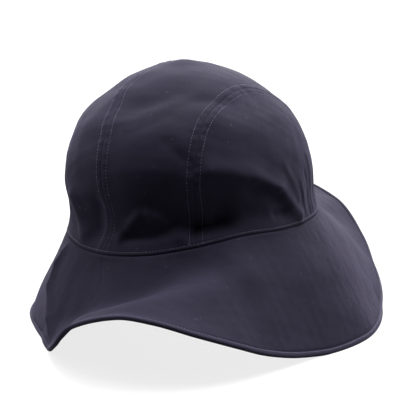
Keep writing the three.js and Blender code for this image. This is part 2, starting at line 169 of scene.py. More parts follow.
BRIM = (
    BrimRow(-180, 189.5, 68, 0.3, -7), BrimRow(-162, 183, 55, 0.32, -6), BrimRow(-145, 168, 29, 0.38, -1),
    BrimRow(-128, 146, 7.5, 0.45, 4), BrimRow(-108, 127, 0.8, 0.5, 5), BrimRow(-92, 119.5, 0.8, 0.5, 3),
    BrimRow(-75, 116.8, 0.5, 0.5, 0.6), BrimRow(-55, 115, 0.3, 0.5, 1.6), BrimRow(-40, 119.5, 0.4, 0.5, 3),
    BrimRow(-32, 127, 0.7, 0.6, 1), BrimRow(-26, 134, 1.3, 0.66, -3), BrimRow(-17, 151.5, 12.8, 0.58, -12),
    BrimRow(-8, 166.5, 33, 0.49, -18), BrimRow(4, 175.5, 45.5, 0.37, -18.5),
    BrimRow(12, 175.5, 43, 0.27, -13), BrimRow(21, 172.5, 34, 0.17, -6),
    BrimRow(30, 162.5, 23, 0.18, -1.5), BrimRow(37, 152.5, 14.3, 0.4, 1),
    BrimRow(46, 142.5, 7.0, 0.4, 2), BrimRow(54, 136.5, 3.0, 0.4, 3), BrimRow(63, 134.6, 0.8, 0.4, 3),
    BrimRow(80, 134.4, 0.8, 0.4, 3), BrimRow(95, 133, 0.8, 0.4, 3), BrimRow(107, 133.7, 1.0, 0.4, 3),
    BrimRow(118, 137.5, 3.0, 0.4, 4), BrimRow(139, 155.5, 16.6, 0.4, 4), BrimRow(150, 170.5, 31.4, 0.36, 0),
    BrimRow(162, 183, 54, 0.32, -5),
)
BRIM_CREASES = (
    Fold(-43, 0.02, -45.5, 0.25, 5, 5, 1.8),
    Fold(-45.5, 0.25, -43, 0.5, 5, 5, 2.4),
    Fold(-43, 0.5, -34, 0.75, 5, 5, 2.8),
    Fold(-34, 0.75, -26, 0.95, 5, 5, 2.2),
    Fold(-10, 0.8, 6, 0.68, 13, 13, 3.0),
    Fold(6, 0.68, 24, 0.48, 15, 15, 3.5),
    Fold(24, 0.48, 38, 0.36, 15, 15, 2.5),
)

# Sharp tucks in the crown's folds and finer wrinkles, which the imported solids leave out
CROWN_TUCKS = (
    Fold(12, 0.1, 21, 0.062, 13, 2.5, -5.5),
    Fold(21, 0.062, 33, 0.056, 13, 2.5, -5.5),
    Fold(24, 0.24, 44, 0.21, 10, 14, 4.2),
    Fold(46, 0.2, 61, 0.155, 6, 8, 3.0),
    Fold(8, 0.2, 30, 0.165, 15, 9, -3.2),
)
CROWN_WRINKLES = (
    Fold(84, 0.05, 82, 0.2, 2.6, 2.6, 0.7),
    Fold(90, 0.03, 89, 0.24, 2.4, 2.4, -0.6),
    Fold(96, 0.04, 97, 0.3, 2.8, 2.8, 0.7),
    Fold(103, 0.05, 106, 0.22, 2.6, 2.6, -0.6),
    Fold(78, 0.12, 70, 0.3, 3.5, 3.5, 0.6),
    Fold(12, 0.47, 22, 0.36, 4.0, 4.0, -0.5),
    Fold(-14, 0.58, 14, 0.7, 5.0, 5.0, 0.6),
    Fold(-6, 0.52, 12, 0.62, 4.5, 4.5, -0.5),
    Fold(32, 0.55, 40, 0.62, 4.0, 4.0, 0.5),
    Fold(28, 0.7, 50, 0.66, 4.0, 4.0, -0.6),
)
BRIM_WRINKLES = (
    Fold(-43, 0.02, -44.6, 0.14, 1.3, 1.3, 0.5),
    Fold(-44.6, 0.14, -45.1, 0.27, 1.3, 1.3, 0.6),
    Fold(-45.1, 0.27, -44.4, 0.4, 1.3, 1.3, 0.6),
    Fold(-44.4, 0.4, -42.1, 0.53, 1.3, 1.3, 0.6),
    Fold(-42.1, 0.53, -38.2, 0.65, 1.3, 1.3, 0.6),
    Fold(-38.2, 0.65, -34, 0.76, 1.3, 1.3, 0.6),
    Fold(-34, 0.76, -26, 0.95, 1.3, 1.3, 0.5),
    Fold(-16.5, 0.02, -12.5, 0.27, 0.8, 0.8, -0.55),
    Fold(-12.5, 0.27, -14, 0.425, 0.8, 0.8, -0.5),
)


class SmoothCurve:
    """Smooth curve through one column of a table, with tangents taken from the neighbouring rows."""

    def __init__(
        self, keys: Sequence[float], values: Sequence[float], period: float = 0.0, ends_level: bool = False
    ) -> None:
        """Takes the points of the curve.

        Args:
            keys: places along the curve, rising.
            values: the curve's value at each place.
            period: length after which the curve repeats, or 0.
            ends_level: whether the curve ends without a slope.
        """
        places = list(keys)
        heights = list(values)
        if period:
            places = [places[-1] - period, *places, places[0] + period, places[1] + period]
            heights = [heights[-1], *heights, heights[0], heights[1]]
        self.period = period
        self.keys = np.array(places, float)
        self.values = np.array(heights, float)
        steps = np.arange(len(places))
        before = np.maximum(steps - 1, 0)
        after = np.minimum(steps + 1, len(places) - 1)
        self.slopes = (self.values[after] - self.values[before]) / (self.keys[after] - self.keys[before])
        if ends_level:
            self.slopes[-1] = 0.0

    def __call__(self, place: Array | float) -> Array:
        """Value of the curve at each place.

        Args:
            place: places along the curve.

        Returns:
            The values, in the shape of the places.
        """
        at = np.asarray(place, float)
        if self.period:
            at = self.keys[1] + np.mod(at - self.keys[1], self.period)
        i = np.clip(np.searchsorted(self.keys, at) - 1, 0, len(self.keys) - 2)
        step = self.keys[i + 1] - self.keys[i]
        u = np.clip((at - self.keys[i]) / step, 0, 1)
        u2 = u * u
        u3 = u2 * u
        return (
            (2 * u3 - 3 * u2 + 1) * self.values[i]
            + (u3 - 2 * u2 + u) * step * self.slopes[i]
            + (3 * u2 - 2 * u3) * self.values[i + 1]
            + (u3 - u2) * step * self.slopes[i + 1]
        )


def column(rows: Sequence[NamedTuple], key: str, name: str, **how: float) -> SmoothCurve:
    """Smooth curve through a named column of a table.

    Args:
        rows: the table.
        key: the column that rises along the curve.
        name: the column of values.
        how: options of the curve.

    Returns:
        The curve.
    """
    return SmoothCurve([getattr(r, key) for r in rows], [getattr(r, name) for r in rows], **how)


def smoothstep(value: Array | float, low: float, high: float) -> Array:
    """Smooth ramp.

    Args:
        value: numbers to look up.
        low: where the ramp starts at 0.
        high: where it ends at 1.

    Returns:
        The ramp's value at each number.
    """
    u = np.clip((np.asarray(value, float) - low) / (high - low), 0, 1)
    return u * u * (3 - 2 * u)


def bell(value: Array | float, width: float) -> Array:
    """Bell curve of height 1 around 0."""
    return np.exp(-((np.asarray(value, float) / width) ** 2))


def turn_between(start: Array | float, end: Array | float) -> Array:
    """Difference of two turns, between -180 and 180 degrees."""
    return np.mod(np.asarray(end, float) - start + 180, 360) - 180


def point_at(turn: Array | float, reach: Array | float, height: Array | float) -> Array:
    """Points round the hat's axis.

    Args:
        turn: turns of the points.
        reach: their distances from the axis.
        height: their heights.

    Returns:
        The points.
    """
    angle = np.radians(turn)
    across, along, up = np.broadcast_arrays(reach * np.sin(angle), -reach * np.cos(angle), height)
    return np.stack([across, along, up], -1).astype(float)


def unit(vectors: Array) -> Array:
    """Vectors scaled to length 1."""
    return vectors / np.maximum(np.linalg.norm(vectors, axis=-1, keepdims=True), 1e-12)


def fold_push(
    folds: Sequence[Fold], turn: Array, level: Array, degree: Array, length: Array | float
) -> Array:
    """Push of all the folds at each place, where folds that meet pass into each other.

    Args:
        folds: the folds.
        turn: turns of the places.
        level: rises or shares of the way out of the places.
        degree: millimetres in one degree of turn at the places.
        length: millimetres in one unit of level.

    Returns:
        How far the cloth is pushed out, in millimetres.
    """
    ridges = np.zeros(np.shape(turn))
    hollows = np.zeros(np.shape(turn))
    for fold in folds:
        sideways = turn_between(fold.from_turn, turn) * degree
        lengthways = (level - fold.from_level) * length
        across = turn_between(fold.from_turn, fold.to_turn) * degree
        along = (fold.to_level - fold.from_level) * length
        share = np.clip((sideways * across + lengthways * along) / (across**2 + along**2 + 1e-9), 0, 1)
        above = lengthways - share * along
        distance = np.hypot(sideways - share * across, above)
        upper_share = 0.5 + 0.5 * above / (distance + 1)
        width = fold.below + (fold.width - fold.below) * upper_share
        push = np.abs(fold.depth) * bell(distance, width)
        if fold.depth > 0:
            ridges += push**FOLD_JOIN
        else:
            hollows += push**FOLD_JOIN
    return ridges ** (1 / FOLD_JOIN) - hollows ** (1 / FOLD_JOIN)


@dataclass(frozen=True)
class HatPattern:
    """The hat's main form. Lengths are millimetres.

    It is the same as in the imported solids, apart from the crown's sharp tucks, which come on top of it.
    """

    head_half_width: float = 86.0
    head_half_length: float = 102.0
    crown_top_height: float = 181.3
    crown_side_length: float = 158.0
    lean_turn: float = 110.0
    upward_from_rise: float = 0.4
    least_fold_reach: float = 0.05
    bend_rounding: float = 0.16
    crease_settle: float = 0.15
    crease_fade_from: float = 0.78
    crease_fade_to: float = 0.95
    seam_height: SmoothCurve = column(BASE_SEAM, "turn", "height", period=360)
    crown_reach: SmoothCurve = column(CROWN_PROFILE, "rise", "reach")
    crown_height: SmoothCurve = column(CROWN_PROFILE, "rise", "height", ends_level=True)
    crown_lean: SmoothCurve = column(CROWN_PROFILE, "rise", "lean")
    right_seam: SmoothCurve = column(PANEL_SEAMS, "along", "right")
    left_seam: SmoothCurve = column(PANEL_SEAMS, "along", "left")
    rim_reach: SmoothCurve = column(BRIM, "turn", "reach", period=360)
    rim_height: SmoothCurve = column(BRIM, "turn", "height", period=360)
    bend_place: SmoothCurve = column(BRIM, "turn", "bend_at", period=360)
    bend_size: SmoothCurve = column(BRIM, "turn", "bend", period=360)

    def head_reach(self, turn: Array) -> Array:
        """Distance of the head oval from the axis at a turn."""
        angle = np.radians(turn)
        return 1 / np.hypot(np.sin(angle) / self.head_half_width, np.cos(angle) / self.head_half_length)

    def crown_degree(self, turn: Array, rise: Array) -> Array:
        """Millimetres in one degree of turn at places on the crown."""
        reach = np.maximum(self.crown_reach(rise), self.least_fold_reach)
        return math.radians(1) * self.head_reach(turn) * reach

    def crown_place(self, flat: Array) -> tuple[Array, Array]:
        """Turn and rise of places on the crown laid flat.

        Args:
            flat: the places.

        Returns:
            The turns and the rises.
        """
        from_top = np.minimum(np.hypot(flat[..., 0], flat[..., 1]), 1)
        return np.degrees(np.arctan2(flat[..., 0], -flat[..., 1])), 1 - from_top

    def crown_face(self, flat: Array) -> Array:
        """Outer face of the crown with its main folds.

        Args:
            flat: places on the crown laid flat.

        Returns:
            The points of the face.
        """
        turn, rise = self.crown_place(flat)
        reach = self.head_reach(turn) * np.maximum(self.crown_reach(rise), 0)
        share = self.crown_height(rise)
        height = self.seam_height(turn) * (1 - share) + self.crown_top_height * share
        face = point_at(turn, reach, height) + point_at(self.lean_turn, self.crown_lean(rise), 0.0)
        upward = smoothstep(rise, self.upward_from_rise, 1)[..., None]
        out = unit(point_at(turn, 1.0, 0.0) * (1 - upward) + np.array([0.0, 0.0, 1.0]) * upward)
        degree = self.crown_degree(turn, rise)
        push = fold_push(CROWN_FOLDS, turn, rise, degree, self.crown_side_length)
        push = push + fold_push(CROWN_TUCKS, turn, rise, degree, self.crown_side_length)
        return face + out * push[..., None]

    def brim_width(self, turn: Array) -> Array:
        """Straight width of the brim at a turn."""
        across = self.rim_reach(turn) - self.head_reach(turn)
        return np.hypot(across, self.rim_height(turn) - self.seam_height(turn))

    def bend_roof(self, share: Array, place: Array) -> Array:
        """Rounded roof of the brim's bend: 0 at both ends, about 1 where the bend lies.

        Args:
            share: shares of the way out.
            place: share at which the bend lies.

        Returns:
            The roof's height at each share.
        """

        def roof(at: Array | float) -> Array:
            """Roof before its ends are brought down to 0.

            Args:
                at: shares of the way out.

            Returns:
                The roof's height at each share.
            """
            up = at / place
            down = (1 - at) / (1 - place)
            return 0.5 * (up + down - np.hypot(up - down, self.bend_rounding / place))

        return roof(share) - (roof(0.0) * (1 - share) + roof(1.0) * share)

    def brim_face(self, turn: Array, share: Array) -> Array:
        """Upper face of the brim.

        Args:
            turn: turns of the places.
            share: their shares of the way out from the seam to the rim.

        Returns:
            The points of the face.
        """
        start = np.stack([self.head_reach(turn), self.seam_height(turn)], -1)
        end = np.stack([self.rim_reach(turn), self.rim_height(turn)], -1)
        line = end - start
        outward = unit(np.stack([-line[..., 1], line[..., 0]], -1))
        degree = math.radians(1) * (start[..., 0] * (1 - share) + end[..., 0] * share)
        crease = fold_push(BRIM_CREASES, turn, share, degree, np.hypot(line[..., 0], line[..., 1]))
        bend = self.bend_size(turn) * self.bend_roof(share, self.bend_place(turn))
        fade = 1 - smoothstep(share, self.crease_fade_from, self.crease_fade_to)
        bend = bend + crease * smoothstep(share, 0, self.crease_settle) * fade
        place = start + line * share[..., None] + outward * bend[..., None]
        return point_at(turn, place[..., 0], place[..., 1])


def face_normals(face: Callable[[Array], Array], places: Array, flip: bool = False) -> Array:
    """Unit normals of a face by small steps along its two parameters.

    Args:
        face: gives a point for each place.
        places: places on the face, two numbers each.
        flip: whether the parameters turn the other way round.

    Returns:
        The outward normals.
    """
    step = 1e-3
    first = np.array([step, 0.0])
    second = np.array([0.0, step])
    along = face(places + first) - face(places - first)
    across = face(places + second) - face(places - second)
    normal = unit(np.cross(along, across))
    return -normal if flip else normal


def graded_shares(length: float, count: int, boosts: Sequence[tuple[float, float, float]]) -> Array:
    """Shares of a length that lie closer together near some places.

    Args:
        length: the whole length.
        count: number of steps.
        boosts: for each place, where it is, how wide it is and how many times denser it gets.

    Returns:
        count + 1 rising shares from 0 to 1.
    """
    fine_places = 4000
    fine = np.linspace(0, length, fine_places)
    density = np.ones_like(fine)
    for place, width, extra in boosts:
        density += extra * bell(fine - place, width)
    total = np.concatenate([[0], np.cumsum((density[1:] + density[:-1]) / 2)])
    return np.interp(np.linspace(0, total[-1], count + 1), total, fine) / length


@dataclass(frozen=True)
class Undulation:
    """Gentle unevenness of slack cloth: a sum of waves through space with a fixed seed."""

    seed: int
    amplitude: float
    wavelength: float
    waves: int = 14
    length_range: tuple[float, float] = (0.7, 1.6)

    def __call__(self, points: Array) -> Array:
        """How far the cloth lies off its smooth form.

        Args:
            points: points on the smooth form.

        Returns:
            The distance off it at each point, in millimetres.
        """
        chance = np.random.default_rng(self.seed)
        total = np.zeros(points.shape[:-1])
        for _ in range(self.waves):
            direction = unit(chance.normal(size=3))
            wave = 2 * math.pi / (self.wavelength * chance.uniform(*self.length_range))
            total += np.sin(points @ direction * wave + chance.uniform(0, 2 * math.pi))
        return self.amplitude * total / math.sqrt(self.waves / 2)


@dataclass(frozen=True)
class Puckers:
    """Short ridges that cross a stitched seam where the thread has drawn the cloth up."""

    seed: int
    pitch: float
    height: float
    stretch: tuple[float, float]
    fade_outside: float = 0.06
    fade_inside: float = 0.03
    calm_share: float = 0.25
    height_range: tuple[float, float] = (0.45, 1.0)
    width_range: tuple[float, float] = (0.2, 0.34)
    gap_range: tuple[float, float] = (0.75, 1.3)

    def ridges(self, length: float) -> list[tuple[float, float, float]]:
        """Ridges along a seam, full in the puckered stretch and lower outside it.

        Args:
            length: the seam's whole length.

        Returns:
            Place, height and half width of each ridge.
        """
        chance = np.random.default_rng(self.seed)
        start, end = self.stretch
        ridges = []
        place = chance.uniform(0, self.pitch)
        while place < length:
            share = place / length
            middle = smoothstep(share, start - self.fade_outside, start + self.fade_inside)
            middle *= 1 - smoothstep(share, end - self.fade_inside, end + self.fade_outside)
            fullness = self.calm_share + (1 - self.calm_share) * float(middle)
            height = self.height * chance.uniform(*self.height_range) * fullness
            ridges.append((place, height, self.pitch * chance.uniform(*self.width_range)))
            place += self.pitch * chance.uniform(*self.gap_range)
        return ridges

    def __call__(self, along: Array, length: float) -> Array:
        """Height of the ridges at lengths along the seam."""
        return sum(height * bell(along - place, width) for place, height, width in self.ridges(length))


@dataclass(frozen=True)
class TopstitchedSeam:
    """A crown seam: a join with a row of topstitching on each side of it."""

    side: Side
    inner_puckers: Puckers
    outer_puckers: Puckers
    row_offset: float = 4.3
    row_depth: float = 0.12
    row_width: float = 0.6
    row_ends_at: float = 0.985
    band_height: float = 0.2
    band_slope: tuple[float, float] = (-0.8, 3.7)
    join_depth: float = 0.2
    join_width: float = 0.45
    pucker_start: tuple[float, float] = (0.3, 1.4)
    pucker_row: tuple[float, float] = (3.4, 4.4)
    pucker_end: tuple[float, float] = (5.0, 10.0)
    past_row_share: float = 0.25
    samples: int = 500
    batch: int = 4000

    def curve(self, pattern: HatPattern) -> SmoothCurve:
        """Distance of the join to the side of the flat crown's middle line."""
        return pattern.left_seam if self.side is Side.LEFT else pattern.right_seam

    def flat_line(self, pattern: HatPattern) -> Array:
        """Join of the seam on the crown laid flat.

        Args:
            pattern: the hat's main form.

        Returns:
            Places along the join, from the front to the back.
        """
        along = -np.cos(np.linspace(0, math.pi, self.samples))
        across = self.curve(pattern)(along)
        return np.stack([across, along * np.sqrt(1 - across**2)], -1)

    def relief(self, pattern: HatPattern, flat: Array, points: Array) -> Array:
        """How far the seam lifts or sinks the cloth.

        Args:
            pattern: the hat's main form.
            flat: places on the flat crown.
            points: the same places on the crown.

        Returns:
            The relief in millimetres.
        """
        line = self.flat_line(pattern)
        join = pattern.crown_face(line)
        lengths = np.concatenate([[0], np.cumsum(np.linalg.norm(np.diff(join, axis=0), axis=1))])
        spots = points.reshape(-1, 3)
        places = flat.reshape(-1, 2)
        relief = np.zeros(len(spots))
        for start in range(0, len(spots), self.batch):
            part = slice(start, start + self.batch)
            gaps = spots[part, None, :] - join[None, :, :]
            squares = np.einsum("ijk,ijk->ij", gaps, gaps)
            nearest = np.argmin(squares, 1)
            distance = np.sqrt(squares[np.arange(len(nearest)), nearest])
            outer = (places[part, 0] - line[nearest, 0]) * self.side.value > 0
            relief[part] = self.section(distance, lengths[nearest], outer, lengths[-1])
        return relief.reshape(points.shape[:-1])

    def section(self, distance: Array, along: Array, outer: Array, length: float) -> Array:
        """Relief at a distance from the join and a length along it.

        Args:
            distance: millimetres from the join.
            along: millimetres along the seam.
            outer: whether the place is on the side away from the centre panel.
            length: the seam's whole length.

        Returns:
            The relief in millimetres.
        """
        past_row = distance - self.row_offset
        band = self.band_height * (1 - smoothstep(past_row, *self.band_slope))
        join = -self.join_depth * bell(distance, self.join_width)
        row = -self.row_depth * bell(past_row, self.row_width)
        ridges = np.where(outer, self.outer_puckers(along, length), self.inner_puckers(along, length))
        drop = (1 - self.past_row_share) * smoothstep(distance, *self.pucker_row)
        window = smoothstep(distance, *self.pucker_start) * (1 - drop)
        window = window * (1 - smoothstep(distance, *self.pucker_end))
        return band + join + row + ridges * window

    def row(self, pattern: HatPattern, side: int) -> Array:
        """One row of topstitching.

        Args:
            pattern: the hat's main form.
            side: 1 or -1, the side of the join that the row lies on.

        Returns:
            Places of the row on the crown laid flat.
        """
        line = self.flat_line(pattern)
        join = pattern.crown_face(line)
        normal = face_normals(pattern.crown_face, line)
        tangent = unit(np.gradient(join, axis=0))
        wanted = side * self.row_offset * unit(np.cross(normal, tangent))
        step = 1e-3
        across = (pattern.crown_face(line + [step, 0.0]) - join) / step
        along = (pattern.crown_face(line + [0.0, step]) - join) / step
        slants = np.stack([across, along], -1)
        moved = line + np.einsum("nij,nj->ni", np.linalg.pinv(slants), wanted)
        return moved[np.hypot(moved[:, 0], moved[:, 1]) < self.row_ends_at]


@dataclass(frozen=True)
class BaseSeam:
    """The seam between the crown and the brim, with one row of topstitching on the crown."""

    row_height: float = 2.4
    row_depth: float = 0.3
    row_width: float = 0.5
    roll_height: float = 0.3
    roll_slope: tuple[float, float] = (-0.5, 1.2)
    edge_depth: float = 0.7
    edge_width: float = 0.6
    brim_depth: float = 0.5
    brim_width: float = 0.7

    def crown_relief(self, height: Array) -> Array:
        """Relief of the crown near its edge.

        Args:
            height: lengths up the crown from the edge.

        Returns:
            The relief in millimetres.
        """
        past_row = height - self.row_height
        roll = self.roll_height * (1 - smoothstep(past_row, *self.roll_slope))
        row = -self.row_depth * bell(past_row, self.row_width)
        return roll + row - self.edge_depth * bell(height, self.edge_width)

    def brim_relief(self, distance: Array) -> Array:
        """Relief of the brim at a length out from its edge."""
        return -self.brim_depth * bell(distance, self.brim_width)


@dataclass(frozen=True)
class ClothMesher:
    """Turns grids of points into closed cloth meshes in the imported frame.

    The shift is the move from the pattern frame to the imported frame, in millimetres.
    """

    shift: Array
    merged_within: float = 2e-6
    shortest_edge: float = 1e-7
    sharp_degrees: float = 55

    def placed(self, points: Array) -> Array:
        """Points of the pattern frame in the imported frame, in metres."""
        return (points.reshape(-1, 3) + self.shift) * METRES

    def sheet(self, name: str, outer: Array, inner: Array, pattern: Array, ring: bool) -> bpy.types.Object:
        """Closed sheet of cloth from an outer and an inner grid.

        Args:
            name: the piece's name.
            outer: rows and columns of points on the outer face.
            inner: the same on the inner face.
            pattern: flat place of each point in metres, with one more row where the rows close into a ring.
            ring: whether the rows close into a ring.

        Returns:
            The piece.
        """
        rows, columns = outer.shape[:2]
        count = rows * columns
        places = []
        corners = []
        steps = rows if ring else rows - 1
        row, place = np.meshgrid(np.arange(steps), np.arange(columns - 1), indexing="ij")
        row, place = row.ravel(), place.ravel()

        def add(quads: list[tuple[Array, Array, int]]) -> None:
            """Adds faces from the rows, columns and grids (0 outer, 1 inner) of their four corners."""
            places.append(np.stack([(r % rows) * columns + c + back * count for r, c, back in quads], -1))
            corners.append(np.stack([r * columns + c for r, c, _ in quads], -1))

        add([(row, place, 0), (row, place + 1, 0), (row + 1, place + 1, 0), (row + 1, place, 0)])
        add([(row, place, 1), (row + 1, place, 1), (row + 1, place + 1, 1), (row, place + 1, 1)])
        edge = np.arange(steps)
        first = np.zeros_like(edge)
        last = first + columns - 1
        add([(edge, first, 0), (edge + 1, first, 0), (edge + 1, first, 1), (edge, first, 1)])
        add([(edge + 1, last, 0), (edge, last, 0), (edge, last, 1), (edge + 1, last, 1)])
        if not ring:
            end = np.arange(columns - 1)
            top = np.zeros_like(end)
            low = top + rows - 1
            add([(top, end + 1, 0), (top, end, 0), (top, end, 1), (top, end + 1, 1)])
            add([(low, end, 0), (low, end + 1, 0), (low, end + 1, 1), (low, end, 1)])
        points = np.concatenate([self.placed(outer), self.placed(inner)])
        flat = pattern.reshape(-1, 2)[np.concatenate(corners)]
        return self.piece(name, points, np.concatenate(places), flat)

    def piece(self, name: str, points: Array, quads: Array, flat: Array) -> bpy.types.Object:
        """Piece from points and faces.

        Args:
            name: the piece's name.
            points: the points in metres.
            quads: the four corners of each face.
            flat: flat place of each corner of each face in metres.

        Returns:
            The piece.
        """
        mesh = bpy.data.meshes.new(name)
        mesh.from_pydata(points.tolist(), [], quads.tolist())
        layer = mesh.uv_layers.new(name="flat_pattern")
        layer.data.foreach_set("uv", flat.reshape(-1).astype(np.float32))
        shape = bmesh.new()
        shape.from_mesh(mesh)
        bmesh.ops.remove_doubles(shape, verts=shape.verts, dist=self.merged_within)
        bmesh.ops.dissolve_degenerate(shape, edges=shape.edges, dist=self.shortest_edge)
        shape.to_mesh(mesh)
        shape.free()
        mesh.polygons.foreach_set("use_smooth", [True] * len(mesh.polygons))
        mesh.set_sharp_from_angle(angle=math.radians(self.sharp_degrees))
        mesh.update()
        made = bpy.data.objects.new(name, mesh)
        bpy.context.scene.collection.objects.link(made)
        return made


@dataclass
class Crown:
    """The three panels of the crown, with their seams, puckers and folds."""

    pattern: HatPattern
    mesher: ClothMesher
    wall: float = 1.3
    rows: int = 320
    centre_columns: int = 72
    side_columns: int = 116
    row_easing: float = 0.35
    base: BaseSeam = field(default_factory=BaseSeam)
    base_samples: int = 721
    seams: tuple[TopstitchedSeam, TopstitchedSeam] = (
        TopstitchedSeam(
            Side.RIGHT, Puckers(21, 6.6, 0.5, (0.14, 0.62)), Puckers(22, 6.4, 0.5, (0.14, 0.62))
        ),
        TopstitchedSeam(
            Side.LEFT, Puckers(11, 6.0, 0.6, (0.16, 0.62)), Puckers(12, 6.2, 0.55, (0.16, 0.62))
        ),
    )
    seam_rise: tuple[float, float] = (1.5, 3.5)
    seam_share_at_edge: float = 0.35
    slackness: Undulation = Undulation(5, 0.22, 30.0)
    crumple: Undulation = Undulation(6, 0.06, 9.0)
    slack_rise: tuple[float, float] = (2.0, 14.0)
    cut_length: float = 0.158
    centre_cut_width: float = 0.14
    side_cut_reach: float = 0.09

    def relief(self, flat: Array, points: Array) -> Array:
        """Fine relief of the crown.

        Args:
            flat: places on the flat crown.
            points: the same places on the crown.

        Returns:
            The relief in millimetres.
        """
        turn, rise = self.pattern.crown_place(flat)
        length = self.pattern.crown_side_length
        height = rise * length
        total = fold_push(CROWN_WRINKLES, turn, rise, self.pattern.crown_degree(turn, rise), length)
        slack = self.slackness(points) + self.crumple(points)
        total = total + slack * smoothstep(height, *self.slack_rise)
        total = total + self.base.crown_relief(height)
        fullness = self.seam_share_at_edge
        fullness = fullness + (1 - fullness) * smoothstep(height, *self.seam_rise)
        for seam in self.seams:
            total = total + seam.relief(self.pattern, flat, points) * fullness
        return total

    def face(self, flat: Array) -> tuple[Array, Array]:
        """Finished outer face of the crown.

        Args:
            flat: places on the flat crown.

        Returns:
            The points of the face, and its normals without the fine relief.
        """
        points = self.pattern.crown_face(flat)
        normals = face_normals(self.pattern.crown_face, flat)
        return points + normals * self.relief(flat, points)[..., None], normals

    def panel(self, name: str, flat: Array, cut: Array) -> bpy.types.Object:
        """One crown panel.

        Args:
            name: the piece's name.
            flat: grid of places on the flat crown.
            cut: the same places on the cut cloth, in metres.

        Returns:
            The panel.
        """
        outer, normals = self.face(flat)
        inner = self.pattern.crown_face(flat) - normals * self.wall
        return self.mesher.sheet(name, outer, inner, cut, ring=False)

    def side_cut(self, flat: Array) -> Array:
        """Places on the flat crown as they lie on a side panel's cut cloth, in metres."""
        turn, rise = self.pattern.crown_place(flat)
        return np.stack([np.radians(turn) * self.side_cut_reach, rise * self.cut_length], -1)

    def stations(self) -> Array:
        """Places of the rows along the crown seams, closer together at both ends.

        Returns:
            The places, from the front edge (-1) to the back edge (1).
        """
        length = 400
        shares = graded_shares(length, self.rows, [(0, 6, 2.5), (length, 6, 2.5)])
        eased = 0.5 - 0.5 * np.cos(math.pi * shares)
        return -np.cos(math.pi * (self.row_easing * eased + (1 - self.row_easing) * shares))

    def seam_line(self, curve: SmoothCurve) -> Array:
        """Places of a crown seam on the flat crown.

        Args:
            curve: distance of the seam to the side of the middle line.

        Returns:
            The seam's place at each station.
        """
        along = self.stations()
        across = curve(along)
        return np.stack([across, along * np.sqrt(1 - across**2)], -1)

    def centre_places(self) -> Array:
        """Grid of places of the centre panel.

        Returns:
            Rows from the front to the back and columns from the right to the left.
        """
        width = 65
        boosts = [(0, 6, 2.6), (width, 6, 2.6), (0, 1.2, 3), (width, 1.2, 3)]
        shares = graded_shares(width, self.centre_columns, boosts)
        right = self.seam_line(self.pattern.right_seam)
        left = self.seam_line(self.pattern.left_seam)
        across = right[:, None, 0] + (left[:, None, 0] - right[:, None, 0]) * shares[None, :]
        return np.stack([across, self.stations()[:, None] * np.sqrt(1 - across**2)], -1)

    def side_places(self, side: Side) -> Array:
        """Grid of places of a side panel, as a fan from its crown seam to the base seam.

        Args:
            side: the wearer's side that the panel lies on.

        Returns:
            Rows and columns of places on the flat crown.
        """
        curve = self.pattern.left_seam if side is Side.LEFT else self.pattern.right_seam
        top = self.seam_line(curve)
        ends = np.arctan2(np.abs(top[[0, -1], 0]), -top[[0, -1], 1])
        angle = ends[0] + (ends[1] - ends[0]) * np.linspace(0, 1, self.rows + 1)
        base = np.stack([side.value * np.sin(angle), -np.cos(angle)], -1)
        width = 120
        boosts = [(0, 8, 2.2), (0, 1.2, 3), (width, 5, 2.5), (width - 15, 18, 0.8)]
        shares = graded_shares(width, self.side_columns, boosts)
        if side is Side.RIGHT:
            shares = shares[::-1]
        return top[:, None, :] + (base - top)[:, None, :] * shares[None, :, None]

    def build(self) -> list[bpy.types.Object]:
        """Builds the crown.

        Returns:
            The centre, left and right panels.
        """
        centre = self.centre_places()
        left = self.side_places(Side.LEFT)
        right = self.side_places(Side.RIGHT)
        centre_cut = centre * np.array([self.centre_cut_width, self.cut_length])
        return [
            self.panel("centre_panel_cloth", centre, centre_cut),
            self.panel("left_panel_cloth", left, self.side_cut(left)),
            self.panel("right_panel_cloth", right, self.side_cut(right)),
        ]

    def stitch_rows(self) -> list[tuple[Array, Array]]:
        """Rows of topstitching of the crown seams.

        Returns:
            Points and normals along each row.
        """
        rows = []
        for seam in self.seams:
            for side in (-1, 1):
                rows.append(self.face(seam.row(self.pattern, side)))
        return rows

    def base_row(self) -> tuple[Array, Array]:
        """Row of topstitching above the base seam.

        Returns:
            Points and normals along the row, closed into a ring.
        """
        turn = np.radians(np.linspace(-180, 180, self.base_samples))
        radius = 1 - self.base.row_height / self.pattern.crown_side_length
        return self.face(np.stack([radius * np.sin(turn), -radius * np.cos(turn)], -1))


@dataclass(frozen=True)
class RadialWrinkles:
    """Fine wrinkles that run outwards over a part of the brim."""

    seed: int
    count: int
    turns: tuple[float, float]
    height: float
    slant: float = 4.0
    start_range: tuple[float, float] = (0.02, 0.6)
    length_range: tuple[float, float] = (0.15, 0.5)
    last_share: float = 0.93
    height_range: tuple[float, float] = (0.4, 1.0)
    slant_range: tuple[float, float] = (-0.4, 1.0)
    width_range: tuple[float, float] = (0.9, 2.2)

    def folds(self) -> list[Fold]:
        """Draws the wrinkles from the seed.

        Returns:
            The wrinkles as folds.
        """
        chance = np.random.default_rng(self.seed)
        folds = []
        for _ in range(self.count):
            turn = chance.uniform(*self.turns)
            start = chance.uniform(*self.start_range)
            end = min(start + chance.uniform(*self.length_range), self.last_share)
            height = self.height * chance.uniform(*self.height_range) * chance.choice([-1, 1])
            lean = self.slant * chance.uniform(*self.slant_range)
            width = chance.uniform(*self.width_range)
            folds.append(Fold(turn, start, turn + lean, end, width, width, height))
        return folds


